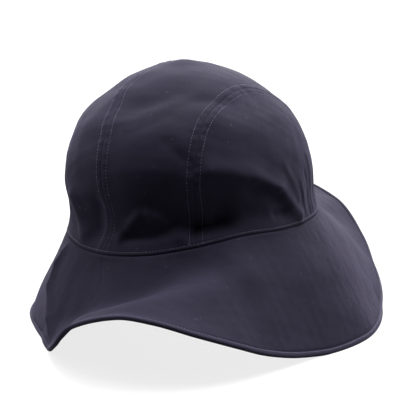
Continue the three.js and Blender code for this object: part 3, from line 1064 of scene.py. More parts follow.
@dataclass
class Brim:
    """The brim: one ring of cloth with a short seam near the front, creases and fine wrinkles."""

    pattern: HatPattern
    mesher: ClothMesher
    wall: float = 1.8
    hem_width: float = 4.0
    hem_gap: float = -0.6
    hem_groove: float = 0.4
    groove_width: float = 0.8
    allowance_depth: float = 1.5
    allowance_wall: float = 0.6
    allowance_heights: tuple[float, ...] = (0.6, 3.0, 6.0)
    rows: int = 560
    columns: int = 72
    base: BaseSeam = field(default_factory=BaseSeam)
    wrinkles: RadialWrinkles = RadialWrinkles(31, 20, (44, 104), 0.04)
    back_wrinkles: RadialWrinkles = RadialWrinkles(32, 30, (130, 250), 0.14)
    slackness: Undulation = Undulation(8, 0.3, 42.0)
    crumple: Undulation = Undulation(9, 0.06, 10.0)
    calm_at_seam: tuple[float, float] = (0.0, 0.06)
    calm_at_rim: tuple[float, float] = (0.93, 1.0)

    def relief(self, turn: Array, share: Array, points: Array) -> Array:
        """Fine relief of the brim.

        Args:
            turn: turns of the places.
            share: their shares of the way out.
            points: the same places on the brim.

        Returns:
            The relief in millimetres.
        """
        width = self.pattern.brim_width(turn)
        reach = self.pattern.head_reach(turn) * (1 - share) + self.pattern.rim_reach(turn) * share
        degree = math.radians(1) * reach
        folds = (*BRIM_WRINKLES, *self.wrinkles.folds(), *self.back_wrinkles.folds())
        total = fold_push(folds, turn, share, degree, width)
        total = total + self.slackness(points) + self.crumple(points)
        total = total * smoothstep(share, *self.calm_at_seam) * (1 - smoothstep(share, *self.calm_at_rim))
        groove = -self.hem_groove * bell((1 - share) * width - self.hem_width, self.groove_width)
        return total + groove + self.base.brim_relief(share * width)

    def plain(self, places: Array) -> Array:
        """Upper face of the brim without fine relief, at places of turn in radians and share."""
        return self.pattern.brim_face(np.degrees(places[..., 0]), places[..., 1])

    def face(self, turn: Array, share: Array) -> tuple[Array, Array]:
        """Finished upper face of the brim.

        Args:
            turn: turns of the places.
            share: their shares of the way out.

        Returns:
            The points of the face, and its normals without the fine relief.
        """
        places = np.stack([np.radians(turn), share], -1)
        points = self.plain(places)
        normals = face_normals(self.plain, places, flip=True)
        return points + normals * self.relief(turn, share, points)[..., None], normals

    def turns(self) -> Array:
        """Turns of the rows, closer together at the crease and on the side towards the wrinkles."""
        boosts = [(144, 16, 1.6), (250, 45, 0.5)]
        return graded_shares(360, self.rows, boosts)[:-1] * 360 - 180

    def hem_share(self, turn: Array) -> Array:
        """Share of the way out where the brim meets the hem."""
        return 1 - (self.hem_width + self.hem_gap) / self.pattern.brim_width(turn)

    def cut(self, turn: Array, share: Array) -> Array:
        """Places of the brim on its cut cloth, an opened ring.

        Args:
            turn: turns of the places.
            share: their shares of the way out.

        Returns:
            The places on the cut cloth in metres.
        """
        inner, spread, width = 0.115, 0.816, 0.08
        radius = inner + width * share
        angle = np.radians(turn) * spread
        return np.stack([radius * np.sin(angle), -radius * np.cos(angle)], -1)

    def build(self) -> bpy.types.Object:
        """Builds the brim, with its edge turned up inside the crown.

        Returns:
            The brim.
        """
        turn = self.turns()
        length = 85
        shares = graded_shares(length, self.columns, [(0, 1.5, 3), (0, 6, 1), (length, 2.5, 1.5)])
        grid_turn = np.repeat(turn[:, None], len(shares), 1)
        grid_share = self.hem_share(turn)[:, None] * shares[None, :]
        outer, normals = self.face(grid_turn, grid_share)
        inner = self.plain(np.stack([np.radians(grid_turn), grid_share], -1)) - normals * self.wall
        for height in self.allowance_heights:
            front = self.turned_up(turn, height)
            back = self.turned_up(turn, height, self.allowance_wall)
            outer = np.concatenate([front[:, None], outer], 1)
            inner = np.concatenate([back[:, None], inner], 1)
        lead = -np.array(self.allowance_heights[::-1]) / length
        grid_share = np.concatenate([np.repeat(lead[None, :], len(turn), 0), grid_share], 1)
        grid_turn = np.repeat(np.append(turn, turn[0] + 360)[:, None], grid_share.shape[1], 1)
        cut = self.cut(grid_turn, np.vstack([grid_share, grid_share[:1]]))
        return self.mesher.sheet("brim_cloth", outer, inner, cut, ring=True)

    def turned_up(self, turn: Array, height: float, behind: float = 0.0) -> Array:
        """Edge of the brim where it is turned up inside the crown.

        Args:
            turn: turns of the places.
            height: their height above the seam.
            behind: how far they lie behind the edge's outer face.

        Returns:
            The points of the edge.
        """
        radius = 1 - height / self.pattern.crown_side_length
        flat = np.stack([radius * np.sin(np.radians(turn)), -radius * np.cos(np.radians(turn))], -1)
        normals = face_normals(self.pattern.crown_face, flat)
        return self.pattern.crown_face(flat) - normals * (self.allowance_depth + behind)


def squared_off(value: Array, power: float) -> Array:
    """Sines or cosines pulled outwards, so that a circle becomes a rounded box."""
    return np.sign(value) * np.abs(value) ** power


@dataclass
class Hem:
    """The rolled hem round the rim, flattened where the hat rests on it."""

    mesher: ClothMesher
    brim: Brim
    width: float = 4.0
    thickness: float = 3.2
    roundness: tuple[float, float] = (0.8, 0.9)
    brim_wall: float = 2.0
    inside_share: float = 0.96
    normal_share: float = 0.98
    flattened_depth: float = 1.0
    sections: int = 900
    sides: int = 20
    row_inset: float = 1.0
    row_lift: float = 0.86
    row_samples: int = 1201
    joint_turn: float = -29.5
    joint_width: float = 1.6
    joint_swell: float = 0.16
    cut_length: float = 1.0
    cut_width: float = 0.0115

    def frame_at(self, turn: Array) -> tuple[Array, Array, Array]:
        """Where the roll lies.

        Args:
            turn: turns of its sections.

        Returns:
            The middle of each section, its outward direction and its normal.
        """
        angle = np.radians(turn)
        rim = self.brim.plain(np.stack([angle, np.ones_like(turn)], -1))
        inside = self.brim.plain(np.stack([angle, np.full_like(turn, self.inside_share)], -1))
        outward = unit(rim - inside)
        places = np.stack([angle, np.full_like(turn, self.normal_share)], -1)
        normal = face_normals(self.brim.plain, places, flip=True)
        return rim - outward * (self.width / 2) - normal * (self.brim_wall / 2), outward, normal

    def ring(self, turn: Array) -> Array:
        """Sections of the roll.

        Args:
            turn: turns of the sections.

        Returns:
            A ring of points for each turn.
        """
        middle, outward, normal = self.frame_at(turn)
        angle = 2 * math.pi * (np.arange(self.sides) + 0.5) / self.sides
        along = squared_off(np.cos(angle), self.roundness[0]) * (self.width / 2)
        across = squared_off(np.sin(angle), self.roundness[1]) * (self.thickness / 2)
        swell = 1 + self.joint_swell * bell(turn_between(self.joint_turn, turn), self.joint_width)
        points = middle[:, None, :] + outward[:, None, :] * (along[None, :, None])
        return points + normal[:, None, :] * (across[None, :] * swell[:, None])[..., None]

    def build(self) -> bpy.types.Object:
        """Builds the hem and flattens it where it rests.

        Returns:
            The hem.
        """
        turn = np.linspace(-180, 180, self.sections, endpoint=False)
        points = self.ring(turn)
        lowest = points[..., 2].min() + self.flattened_depth
        points[..., 2] = np.maximum(points[..., 2], lowest)
        count = self.sides
        row, side = np.meshgrid(np.arange(self.sections), np.arange(count), indexing="ij")
        row, side = row.ravel(), side.ravel()
        following = (row + 1) % self.sections
        up = (side + 1) % count
        quads = np.stack(
            [row * count + side, following * count + side, following * count + up, row * count + up], -1
        )
        along = np.stack([row, row + 1, row + 1, row], -1) / self.sections
        round_it = np.stack([side, side, side + 1, side + 1], -1) / count
        cut = np.stack([along * self.cut_length, round_it * self.cut_width], -1)
        return self.mesher.piece("rolled_hem", self.mesher.placed(points), quads, cut.reshape(-1, 2))

    def row(self) -> tuple[Array, Array]:
        """Row of topstitching on the hem.

        Returns:
            Points and normals along the row, closed into a ring.
        """
        turn = np.linspace(-180, 180, self.row_samples)
        middle, outward, normal = self.frame_at(turn)
        lift = self.thickness / 2 * self.row_lift
        inset = outward * (self.width / 2 - self.row_inset)
        return middle - inset + normal * lift, normal


class NodeSheet:
    """Short ways to add and link nodes in a tree."""

    def __init__(self, tree: bpy.types.NodeTree) -> None:
        """Keeps the tree."""
        self.tree = tree

    def node(self, kind: str, **settings: object) -> bpy.types.Node:
        """Adds a node.

        Args:
            kind: Blender's name for the kind of node.
            settings: its properties.

        Returns:
            The node.
        """
        made = self.tree.nodes.new(kind)
        for name, value in settings.items():
            setattr(made, name, value)
        return made

    def put(self, source: object, target: bpy.types.NodeSocket) -> None:
        """Links a socket into another, or sets a value on it.

        Args:
            source: a socket or a value.
            target: the socket that takes it.
        """
        if isinstance(source, bpy.types.NodeSocket):
            self.tree.links.new(source, target)
        else:
            target.default_value = source

    def math(self, how: str, first: object, second: object = 0.0, third: object = 0.0) -> Socket:
        """Adds a math node.

        Args:
            how: its operation.
            first: a number or a socket.
            second: the same for the second operand.
            third: the same for the third operand.

        Returns:
            The result.
        """
        made = self.node("ShaderNodeMath", operation=how)
        for socket, operand in zip(made.inputs, (first, second, third)):
            self.put(operand, socket)
        return made.outputs[0]

    def noise(
        self, place: object, scale: object, detail: float, roughness: float = 0.5, distortion: float = 0.0
    ) -> Socket:
        """Adds a noise texture.

        Args:
            place: where it is looked up.
            scale: waves in one metre.
            detail: levels of finer noise.
            roughness: share that each finer level keeps.
            distortion: how far the noise is warped.

        Returns:
            The noise's value, about 0 to 1.
        """
        made = self.node("ShaderNodeTexNoise")
        self.put(place, made.inputs["Vector"])
        self.put(scale, made.inputs["Scale"])
        made.inputs["Detail"].default_value = detail
        made.inputs["Roughness"].default_value = roughness
        made.inputs["Distortion"].default_value = distortion
        return made.outputs["Fac"]

    def ramp(self, value: object, low: float, high: float) -> Socket:
        """Adds a smooth ramp.

        Args:
            value: the number to look up.
            low: where the ramp starts at 0.
            high: where it ends at 1.

        Returns:
            The ramp's value.
        """
        made = self.node("ShaderNodeMapRange", interpolation_type="SMOOTHSTEP")
        self.put(value, made.inputs["Value"])
        made.inputs["From Min"].default_value = low
        made.inputs["From Max"].default_value = high
        return made.outputs["Result"]

    def blend(self, share: object, first: object, second: object) -> Socket:
        """Adds a colour mix.

        Args:
            share: how much of the second colour it takes.
            first: the first colour.
            second: the second colour.

        Returns:
            The mixed colour.
        """
        made = self.node("ShaderNodeMix", data_type="RGBA")
        self.put(share, made.inputs[0])
        self.put(first, made.inputs[6])
        self.put(second, made.inputs[7])
        return made.outputs[2]

    def bump(self, height: Socket, strength: float, depth: float, below: Socket | None = None) -> Socket:
        """Adds a bump.

        Args:
            height: the relief.
            strength: how strongly it shows.
            depth: the relief's depth in metres.
            below: normal of a coarser bump that it lies on.

        Returns:
            The bumped normal.
        """
        made = self.node("ShaderNodeBump")
        made.inputs["Strength"].default_value = strength
        made.inputs["Distance"].default_value = depth
        self.put(height, made.inputs["Height"])
        if below is not None:
            self.put(below, made.inputs["Normal"])
        return made.outputs["Normal"]


def new_material(name: str) -> tuple[bpy.types.Material, NodeSheet]:
    """New material without nodes.

    Args:
        name: the material's name.

    Returns:
        The material, and the sheet that its nodes go on.
    """
    material = bpy.data.materials.new(name)
    material.use_nodes = True
    material.node_tree.nodes.clear()
    return material, NodeSheet(material.node_tree)


def new_group(
    name: str, inputs: dict[str, tuple[str, object]], outputs: dict[str, str]
) -> bpy.types.NodeTree:
    """Empty shader group with named sockets.

    Args:
        name: the group's name.
        inputs: for each input, its kind and its first value.
        outputs: for each output, its kind.

    Returns:
        The group.
    """
    tree = bpy.data.node_groups.new(name, "ShaderNodeTree")
    for socket, (kind, value) in inputs.items():
        made = tree.interface.new_socket(name=socket, in_out="INPUT", socket_type=kind)
        if value is not None:
            made.default_value = value
    for socket, kind in outputs.items():
        tree.interface.new_socket(name=socket, in_out="OUTPUT", socket_type=kind)
    return tree


class ClothEffects:
    """Shader groups that the cloths and threads share."""

    def __init__(self) -> None:
        """Builds the groups."""
        self.weave = self.build_weave()
        self.wear = self.build_wear()

    def build_weave(self) -> bpy.types.NodeTree:
        """Plain weave: threads that pass over and under each other.

        Returns:
            The group.
        """
        number, vector = "NodeSocketFloat", "NodeSocketVector"
        tree = new_group(
            "plain_weave",
            {"Place": (vector, None), "Threads per metre": (number, 3000.0), "Unevenness": (number, 0.3)},
            {"Height": number, "Thread": number},
        )
        sheet = NodeSheet(tree)
        entry = sheet.node("NodeGroupInput")
        leave = sheet.node("NodeGroupOutput")
        wander = sheet.noise(entry.outputs["Place"], 160.0, detail=2.0)
        shift = sheet.math("MULTIPLY", wander, entry.outputs["Unevenness"])
        parts = sheet.node("ShaderNodeSeparateXYZ")
        sheet.put(entry.outputs["Place"], parts.inputs[0])
        warp = sheet.math("MULTIPLY_ADD", parts.outputs[0], entry.outputs["Threads per metre"], shift)
        weft = sheet.math("MULTIPLY_ADD", parts.outputs[1], entry.outputs["Threads per metre"], shift)

        def strand(across: Socket, along: Socket, phase: float) -> Socket:
            """Height of one set of threads.

            Args:
                across: place across the threads, counted in threads.
                along: place along them, counted in the threads that they cross.
                phase: 0 or 1, the thread that starts on top.

            Returns:
                The height, 0 to 1.
            """
            over = sheet.math("ABSOLUTE", sheet.math("SINE", sheet.math("MULTIPLY", across, math.pi)))
            step = sheet.math("ADD", sheet.math("FLOOR", across), phase)
            swing = sheet.math("SINE", sheet.math("MULTIPLY", sheet.math("ADD", along, step), math.pi))
            dip = 0.42
            return sheet.math("MULTIPLY", over, sheet.math("MULTIPLY_ADD", swing, dip, 1 - dip))

        first = strand(warp, weft, 0.0)
        second = strand(weft, warp, 1.0)
        sheet.put(sheet.math("MAXIMUM", first, second), leave.inputs["Height"])
        sheet.put(sheet.math("SUBTRACT", first, second), leave.inputs["Thread"])
        return tree

    def build_wear(self) -> bpy.types.NodeTree:
        """Patches, grain, fine creases and pale flecks of cloth that has been handled.

        Returns:
            The group.
        """
        number, vector = "NodeSocketFloat", "NodeSocketVector"
        tree = new_group(
            "handled_cloth",
            {"Place": (vector, None), "Patch size": (number, 0.03), "Grain size": (number, 0.0012)},
            {"Patches": number, "Grain": number, "Creases": number, "Flecks": number},
        )
        sheet = NodeSheet(tree)
        entry = sheet.node("NodeGroupInput")
        leave = sheet.node("NodeGroupOutput")
        place = entry.outputs["Place"]
        patches = sheet.noise(place, sheet.math("DIVIDE", 1.0, entry.outputs["Patch size"]), 4.0, 0.55, 0.4)
        grain = sheet.noise(place, sheet.math("DIVIDE", 1.0, entry.outputs["Grain size"]), 2.0, 0.6)
        fine = sheet.noise(place, 95.0, 3.0, 0.5, 1.2)
        lint = sheet.noise(place, 560.0, 1.0, 0.5, 0.8)
        sheet.put(sheet.ramp(lint, 0.72, 0.82), leave.inputs["Flecks"])
        sheet.put(sheet.ramp(patches, 0.25, 0.75), leave.inputs["Patches"])
        sheet.put(grain, leave.inputs["Grain"])
        sheet.put(sheet.math("ABSOLUTE", sheet.math("SUBTRACT", fine, 0.5)), leave.inputs["Creases"])
        return tree


@dataclass(frozen=True)
class ShellCloth:
    """Finish of the woven shell cloth."""

    name: str = "shell_cloth"
    deep: Colour = (0.0136, 0.0121, 0.0225)
    pale: Colour = (0.0238, 0.0213, 0.0386)
    fleck: Colour = (0.05, 0.046, 0.072)
    grain_share: float = 0.5
    patch_share: float = 0.45
    weave_share: float = 0.35
    roughness: float = 0.78
    roughness_range: float = 0.08
    sheen: float = 0.1
    sheen_roughness: float = 0.32
    sheen_tint: Colour = (0.66, 0.58, 0.95)
    specular: float = 0.045
    threads_per_metre: float = 3200.0
    weave_depth: float = 0.00006
    weave_strength: float = 0.6
    crease_depth: float = 0.00035
    crease_strength: float = 0.5

    def build(self, effects: ClothEffects) -> bpy.types.Material:
        """Builds the material.

        Args:
            effects: the shared shader groups.

        Returns:
            The material.
        """
        material, sheet = new_material(self.name)
        flat = sheet.node("ShaderNodeUVMap", uv_map="flat_pattern")
        solid = sheet.node("ShaderNodeTexCoord")
        weave = sheet.node("ShaderNodeGroup", node_tree=effects.weave)
        sheet.put(flat.outputs["UV"], weave.inputs["Place"])
        weave.inputs["Threads per metre"].default_value = self.threads_per_metre
        wear = sheet.node("ShaderNodeGroup", node_tree=effects.wear)
        sheet.put(solid.outputs["Object"], wear.inputs["Place"])
        tone = sheet.math("MULTIPLY_ADD", wear.outputs["Grain"], self.grain_share, -self.grain_share / 2)
        tone = sheet.math("MULTIPLY_ADD", wear.outputs["Patches"], self.patch_share, tone)
        tone = sheet.math("MULTIPLY_ADD", weave.outputs["Height"], self.weave_share, tone)
        colour = sheet.blend(tone, (*self.deep, 1.0), (*self.pale, 1.0))
        colour = sheet.blend(wear.outputs["Flecks"], colour, (*self.fleck, 1.0))
        woven = sheet.bump(weave.outputs["Height"], self.weave_strength, self.weave_depth)
        creased = sheet.bump(wear.outputs["Creases"], self.crease_strength, self.crease_depth, woven)
        smoothest = self.roughness - self.roughness_range / 2
        rough = sheet.math("MULTIPLY_ADD", wear.outputs["Patches"], self.roughness_range, smoothest)
        shader = sheet.node("ShaderNodeBsdfPrincipled")
        sheet.put(colour, shader.inputs["Base Color"])
        sheet.put(rough, shader.inputs["Roughness"])
        shader.inputs["Specular IOR Level"].default_value = self.specular
        shader.inputs["Sheen Weight"].default_value = self.sheen
        shader.inputs["Sheen Roughness"].default_value = self.sheen_roughness
        shader.inputs["Sheen Tint"].default_value = (*self.sheen_tint, 1.0)
        sheet.put(creased, shader.inputs["Normal"])
        leave = sheet.node("ShaderNodeOutputMaterial")
        sheet.put(shader.outputs["BSDF"], leave.inputs["Surface"])
        return material


HEM_FINISH = ShellCloth(
    name="hem_cloth",
    deep=(0.0212, 0.0194, 0.0333),
    pale=(0.0312, 0.0285, 0.0484),
)


@dataclass(frozen=True)
class SewingThread:
    """Finish of the topstitching thread."""

    name: str = "sewing_thread"
    deep: Colour = (0.085, 0.08, 0.13)
    pale: Colour = (0.2, 0.19, 0.28)
    roughness: float = 0.5
    specular: float = 0.2
    patch_size: float = 0.004
    fibre_size: float = 0.0003
    fibre_depth: float = 0.0001
    fibre_strength: float = 0.25

    def build(self, effects: ClothEffects) -> bpy.types.Material:
        """Builds the material.

        Args:
            effects: the shared shader groups.

        Returns:
            The material.
        """
        material, sheet = new_material(self.name)
        solid = sheet.node("ShaderNodeTexCoord")
        wear = sheet.node("ShaderNodeGroup", node_tree=effects.wear)
        sheet.put(solid.outputs["Object"], wear.inputs["Place"])
        wear.inputs["Patch size"].default_value = self.patch_size
        wear.inputs["Grain size"].default_value = self.fibre_size
        colour = sheet.blend(wear.outputs["Patches"], (*self.deep, 1.0), (*self.pale, 1.0))
        fibres = sheet.bump(wear.outputs["Grain"], self.fibre_strength, self.fibre_depth)
        shader = sheet.node("ShaderNodeBsdfPrincipled")
        sheet.put(colour, shader.inputs["Base Color"])
        shader.inputs["Roughness"].default_value = self.roughness
        shader.inputs["Specular IOR Level"].default_value = self.specular
        sheet.put(fibres, shader.inputs["Normal"])
        leave = sheet.node("ShaderNodeOutputMaterial")
        sheet.put(shader.outputs["BSDF"], leave.inputs["Surface"])
        return material


@dataclass
class Topstitching:
    """Rows of stitches set along paths on the cloth by geometry nodes."""

    mesher: ClothMesher
    thread: bpy.types.Material
    pitch: float = 2.3
    length: float = 1.15
    thickness: float = 0.38
    size_range: tuple[float, float] = (0.8, 1.12)
    raised: float = 0.02
    segments: int = 6
    rings: int = 5

    def path(self, name: str, rows: Sequence[tuple[Array, Array]]) -> bpy.types.Object:
        """Path of plain edges for the stitches to follow.

        Args:
            name: the path's name.
            rows: points and normals along each row.

        Returns:
            An object of edges, with the cloth's normals as an attribute.
        """
        points = np.concatenate([self.mesher.placed(row + normal * self.raised) for row, normal in rows])
        normals = np.concatenate([normal.reshape(-1, 3) for _, normal in rows])
        edges = []
        start = 0
        for row, _ in rows:
            steps = np.arange(start, start + len(row) - 1)
            edges.extend(np.stack([steps, steps + 1], -1).tolist())
            start += len(row)
        mesh = bpy.data.meshes.new(name)
        mesh.from_pydata(points.tolist(), edges, [])
        layer = mesh.attributes.new("cloth_normal", "FLOAT_VECTOR", "POINT")
        layer.data.foreach_set("vector", normals.reshape(-1).astype(np.float32))
        made = bpy.data.objects.new(name, mesh)
        bpy.context.scene.collection.objects.link(made)
        return made

    def tree(self) -> tuple[bpy.types.NodeTree, dict[str, str]]:
        """Geometry node tree that sets stitches along a path.

        Returns:
            The tree, and the identifiers of its inputs.
        """
        tree = bpy.data.node_groups.new("set_stitches", "GeometryNodeTree")
        face = tree.interface
        kinds = {
            "Path": "NodeSocketGeometry",
            "Pitch": "NodeSocketFloat",
            "Length": "NodeSocketFloat",
            "Thickness": "NodeSocketFloat",
            "Seed": "NodeSocketInt",
            "Thread": "NodeSocketMaterial",
        }
        inputs = {}
        for name, kind in kinds.items():
            inputs[name] = face.new_socket(name=name, in_out="INPUT", socket_type=kind).identifier
        face.new_socket(name="Stitches", in_out="OUTPUT", socket_type="NodeSocketGeometry")
        sheet = NodeSheet(tree)
        entry = sheet.node("NodeGroupInput")
        curve = sheet.node("GeometryNodeMeshToCurve")
        sheet.put(entry.outputs["Path"], curve.inputs["Mesh"])
        evenly = sheet.node("GeometryNodeResampleCurve", mode="LENGTH")
        sheet.put(curve.outputs["Curve"], evenly.inputs["Curve"])
        sheet.put(entry.outputs["Pitch"], evenly.inputs["Length"])
        normal = sheet.node("GeometryNodeInputNamedAttribute", data_type="FLOAT_VECTOR")
        normal.inputs["Name"].default_value = "cloth_normal"
        upright = sheet.node("FunctionNodeAlignRotationToVector", axis="Z")
        sheet.put(normal.outputs["Attribute"], upright.inputs["Vector"])
        tangent = sheet.node("GeometryNodeInputTangent")
        turned = sheet.node("FunctionNodeAlignRotationToVector", axis="X", pivot_axis="Z")
        sheet.put(upright.outputs["Rotation"], turned.inputs["Rotation"])
        sheet.put(tangent.outputs["Tangent"], turned.inputs["Vector"])
        ball = sheet.node("GeometryNodeMeshUVSphere")
        ball.inputs["Segments"].default_value = self.segments
        ball.inputs["Rings"].default_value = self.rings
        ball.inputs["Radius"].default_value = 0.5
        laid = sheet.node("GeometryNodeTransform")
        sheet.put(ball.outputs["Mesh"], laid.inputs["Geometry"])
        laid.inputs["Rotation"].default_value = (0.0, math.radians(90), 0.0)
        size = sheet.node("ShaderNodeCombineXYZ")
        sheet.put(entry.outputs["Length"], size.inputs[0])
        sheet.put(entry.outputs["Thickness"], size.inputs[1])
        sheet.put(entry.outputs["Thickness"], size.inputs[2])
        sized = sheet.node("GeometryNodeTransform")
        sheet.put(laid.outputs["Geometry"], sized.inputs["Geometry"])
        sheet.put(size.outputs[0], sized.inputs["Scale"])
        chance = sheet.node("FunctionNodeRandomValue", data_type="FLOAT")
        for socket, size_share in zip(chance.inputs[2:4], self.size_range):
            socket.default_value = size_share
        sheet.put(entry.outputs["Seed"], chance.inputs["Seed"])
        placed = sheet.node("GeometryNodeInstanceOnPoints")
        sheet.put(evenly.outputs["Curve"], placed.inputs["Points"])
        sheet.put(sized.outputs["Geometry"], placed.inputs["Instance"])
        sheet.put(turned.outputs["Rotation"], placed.inputs["Rotation"])
        sheet.put(chance.outputs[1], placed.inputs["Scale"])
        real = sheet.node("GeometryNodeRealizeInstances")
        sheet.put(placed.outputs["Instances"], real.inputs["Geometry"])
        dressed = sheet.node("GeometryNodeSetMaterial")
        sheet.put(real.outputs["Geometry"], dressed.inputs["Geometry"])
        sheet.put(entry.outputs["Thread"], dressed.inputs["Material"])
        leave = sheet.node("NodeGroupOutput")
        sheet.put(dressed.outputs["Geometry"], leave.inputs["Stitches"])
        return tree, inputs

    def sew(self, name: str, rows: Sequence[tuple[Array, Array]], seed: int) -> bpy.types.Object:
        """Sews one piece of stitching along rows.

        Args:
            name: the piece's name.
            rows: points and normals along each row.
            seed: seed of the stitches' unevenness.

        Returns:
            The piece, as a plain mesh.
        """
        path = self.path(f"{name}_path", rows)
        tree, inputs = self.tree()
        sewing = path.modifiers.new("sewing", "NODES")
        sewing.node_group = tree
        sewing[inputs["Pitch"]] = self.pitch * METRES
        sewing[inputs["Length"]] = self.length * METRES
        sewing[inputs["Thickness"]] = self.thickness * METRES
        sewing[inputs["Seed"]] = seed
        sewing[inputs["Thread"]] = self.thread
        graph = bpy.context.evaluated_depsgraph_get()
        mesh = bpy.data.meshes.new_from_object(path.evaluated_get(graph))
        mesh.name = name
        made = bpy.data.objects.new(name, mesh)
        bpy.context.scene.collection.objects.link(made)
        old = path.data
        bpy.data.objects.remove(path)
        bpy.data.meshes.remove(old)
        mesh.polygons.foreach_set("use_smooth", [True] * len(mesh.polygons))
        return made


class Lamp(NamedTuple):
    """A broad soft light: where it comes from, the angle that it fills and its strength."""

    name: str
    turn: float
    elevation: float
    spread: float
    strength: float


LAMPS = (
    Lamp("ceiling", 200, 84, 50, 3.5),
    Lamp("back_slope", 167, 55, 60, 4.8),
    Lamp("far_slope", 250, 50, 50, 0.9),
    Lamp("back_wall", 200, 20, 50, 3.5),
    Lamp("left_wall", 126, 20, 50, 1.5),
    Lamp("right_wall", 272, 20, 50, 1.7),
)


@dataclass(frozen=True)
class Studio:
    """Camera, soft lights and the pale floor. Lengths are millimetres in the hat's pattern frame."""

    turn: float = 20.0
    elevation: float = 12.0
    distance: float = 1250.0
    sensor: float = 36.0
    millimetres_per_pixel: float = 0.70
    image_size: float = 416.0
    target: tuple[float, float, float] = (0.0, 0.0, 80.0)
    target_pixel: tuple[float, float] = (193.5, 204.0)
    air_glow: float = 0.02
    floor_half: float = 9000.0
    floor_tone: float = 0.12
    floor_roughness: float = 0.9
    # Strength of the painted glow: the floor gives off light that only the camera sees, which lightens its
    # cast shadows
    painted_floor_glow: float = 0.8

    def direction(self, turn: float, elevation: float) -> Vector:
        """Direction from the hat.

        Args:
            turn: turn in degrees from the front.
            elevation: degrees above the floor.

        Returns:
            The direction, with length 1.
        """
        a, e = math.radians(turn), math.radians(elevation)
        return Vector((math.sin(a) * math.cos(e), -math.cos(a) * math.cos(e), math.sin(e)))

    def set_camera(self, shift: Array) -> None:
        """Places the camera at the photograph's angle, with a small shift for its framing.

        Args:
            shift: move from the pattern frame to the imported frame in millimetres.
        """
        data = bpy.data.cameras.new("photo_camera")
        camera = bpy.data.objects.new("photo_camera", data)
        bpy.context.scene.collection.objects.link(camera)
        target = (Vector(self.target) + Vector(shift.tolist())) * METRES
        back = self.direction(self.turn, self.elevation)
        camera.location = target + back * self.distance * METRES
        camera.rotation_mode = "QUATERNION"
        camera.rotation_quaternion = (-back).to_track_quat("-Z", "Y")
        data.sensor_width = self.sensor
        data.lens = self.distance / self.millimetres_per_pixel / self.image_size * self.sensor
        data.shift_x = (self.image_size / 2 - self.target_pixel[0]) / self.image_size
        data.shift_y = (self.target_pixel[1] - self.image_size / 2) / self.image_size
        bpy.context.scene.camera = camera

    def add_lamp(self, lamp: Lamp) -> None:
        """Adds one broad soft light.

        Args:
            lamp: where it comes from and how strong it is.
        """
        data = bpy.data.lights.new(lamp.name, "SUN")
        data.angle = math.radians(lamp.spread)
        data.energy = lamp.strength
        light = bpy.data.objects.new(lamp.name, data)
        bpy.context.scene.collection.objects.link(light)
        light.rotation_mode = "QUATERNION"
        light.rotation_quaternion = (-self.direction(lamp.turn, lamp.elevation)).to_track_quat("-Z", "Y")

    def set_lights(self) -> None:
        """Lights the hat softly from above and a little from all round."""
        world = bpy.data.worlds.new("studio_air")
        world.use_nodes = True
        air = world.node_tree.nodes["Background"]
        air.inputs["Color"].default_value = (1.0, 1.0, 1.0, 1.0)
        air.inputs["Strength"].default_value = self.air_glow
        bpy.context.scene.world = world
        for lamp in LAMPS:
            self.add_lamp(lamp)

    def lay_floor(self) -> bpy.types.Object:
        """Lays the plain floor, with a painted glow that only the camera sees, so that it looks pale and
        its cast shadows stay light.

        Returns:
            The floor.
        """
        mesh = bpy.data.meshes.new("floor")
        half = self.floor_half * METRES
        corners = [(-half, -half, 0.0), (half, -half, 0.0), (half, half, 0.0), (-half, half, 0.0)]
        mesh.from_pydata(corners, [], [(0, 1, 2, 3)])
        floor = bpy.data.objects.new("floor", mesh)
        bpy.context.scene.collection.objects.link(floor)
        material, sheet = new_material("pale_floor")
        shader = sheet.node("ShaderNodeBsdfPrincipled")
        tone = self.floor_tone
        shader.inputs["Base Color"].default_value = (tone, tone, tone, 1.0)
        shader.inputs["Roughness"].default_value = self.floor_roughness
        shader.inputs["Emission Color"].default_value = (1.0, 1.0, 1.0, 1.0)
        # Painted glow: the floor emits light for camera rays only, which lightens the hat's cast shadow on
        # it
        seen = sheet.node("ShaderNodeLightPath").outputs["Is Camera Ray"]
        sheet.put(sheet.math("MULTIPLY", seen, self.painted_floor_glow), shader.inputs["Emission Strength"])
        leave = sheet.node("ShaderNodeOutputMaterial")
        sheet.put(shader.outputs["BSDF"], leave.inputs["Surface"])
        mesh.materials.append(material)
        return floor


@dataclass(frozen=True)
class FlatCut:
    """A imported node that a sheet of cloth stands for, and the sheet's cut size in metres."""

    node: str
    width: float
    length: float
    area: float


CUTS = {
    "centre_panel_cloth": FlatCut("crown_centre_panel", 0.095, 0.40, 0.0257),
    "left_panel_cloth": FlatCut("crown_left_panel", 0.095, 0.27, 0.0169),
    "right_panel_cloth": FlatCut("crown_right_panel", 0.125, 0.29, 0.0249),
    "brim_cloth": FlatCut("brim", 0.38, 0.37, 0.0612),
}


def dress(piece: bpy.types.Object, material: bpy.types.Material) -> None:
    """Gives a piece its finish and its place in the record.

    Args:
        piece: the piece.
        material: its material.
    """
    piece.data.materials.clear()
    piece.data.materials.append(material)
    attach(piece, "root")
    LOG.info("%s: %d faces", piece.name, len(piece.data.polygons))


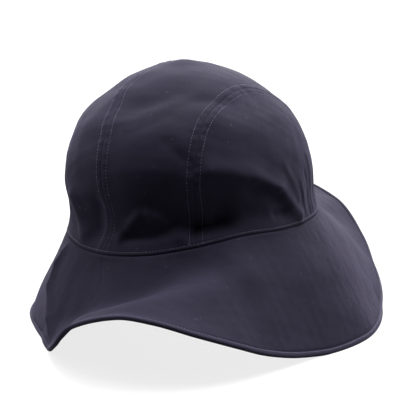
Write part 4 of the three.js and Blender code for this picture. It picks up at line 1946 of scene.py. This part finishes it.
def sheet_area(piece: bpy.types.Object) -> float:
    """Half of a sheet's whole surface, in square metres."""
    return sum(face.area for face in piece.data.polygons) / 2


def hem_shift() -> Array:
    """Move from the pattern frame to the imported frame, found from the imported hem's own box.

    Returns:
        The move in millimetres.
    """
    pattern = HatPattern()
    mesher = ClothMesher(np.zeros(3))
    trial = Hem(mesher, Brim(pattern, mesher))
    points = trial.ring(np.linspace(-180, 180, trial.sections, endpoint=False)).reshape(-1, 3)
    low, high = points.min(0), points.max(0)
    cad_low, cad_high = (np.array(corner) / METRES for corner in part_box("brim_hem"))
    middle = (cad_low + cad_high) / 2 - (low + high) / 2
    return np.array([middle[0], middle[1], -(low[2] + trial.flattened_depth)])


def main() -> None:
    """Builds the hat piece by piece, then the studio."""
    logging.basicConfig(level=logging.INFO, format="%(message)s")
    shift = hem_shift()
    LOG.info("shift %s", np.round(shift, 3))
    pattern = HatPattern()
    mesher = ClothMesher(shift)
    studio = Studio()
    studio.set_camera(shift)
    effects = ClothEffects()
    cloth = ShellCloth().build(effects)
    hem_cloth = HEM_FINISH.build(effects)
    thread = SewingThread().build(effects)

    crown = Crown(pattern, mesher)
    brim = Brim(pattern, mesher)
    hem = Hem(mesher, brim)
    panels = crown.build()
    brim_piece = brim.build()
    hem_piece = hem.build()
    for piece in (*panels, brim_piece):
        dress(piece, cloth)
    dress(hem_piece, hem_cloth)
    sewing = Topstitching(mesher, thread)
    crown_stitches = sewing.sew("crown_stitches", crown.stitch_rows(), 41)
    base_stitches = sewing.sew("base_stitches", [crown.base_row()], 42)
    rim_stitches = sewing.sew("rim_stitches", [hem.row()], 43)
    for piece in (crown_stitches, base_stitches, rim_stitches):
        dress(piece, thread)
    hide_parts("brim_hem")
    for piece in (*panels, brim_piece):
        cut = CUTS[piece.name]
        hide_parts(cut.node)
        LOG.info("%s covers %.4f square metres", piece.name, sheet_area(piece))

    studio.set_lights()
    studio.lay_floor()
    view = bpy.context.scene.view_settings
    view.view_transform = "Standard"
    view.look = "None"


if __name__ == "__main__":
    main()
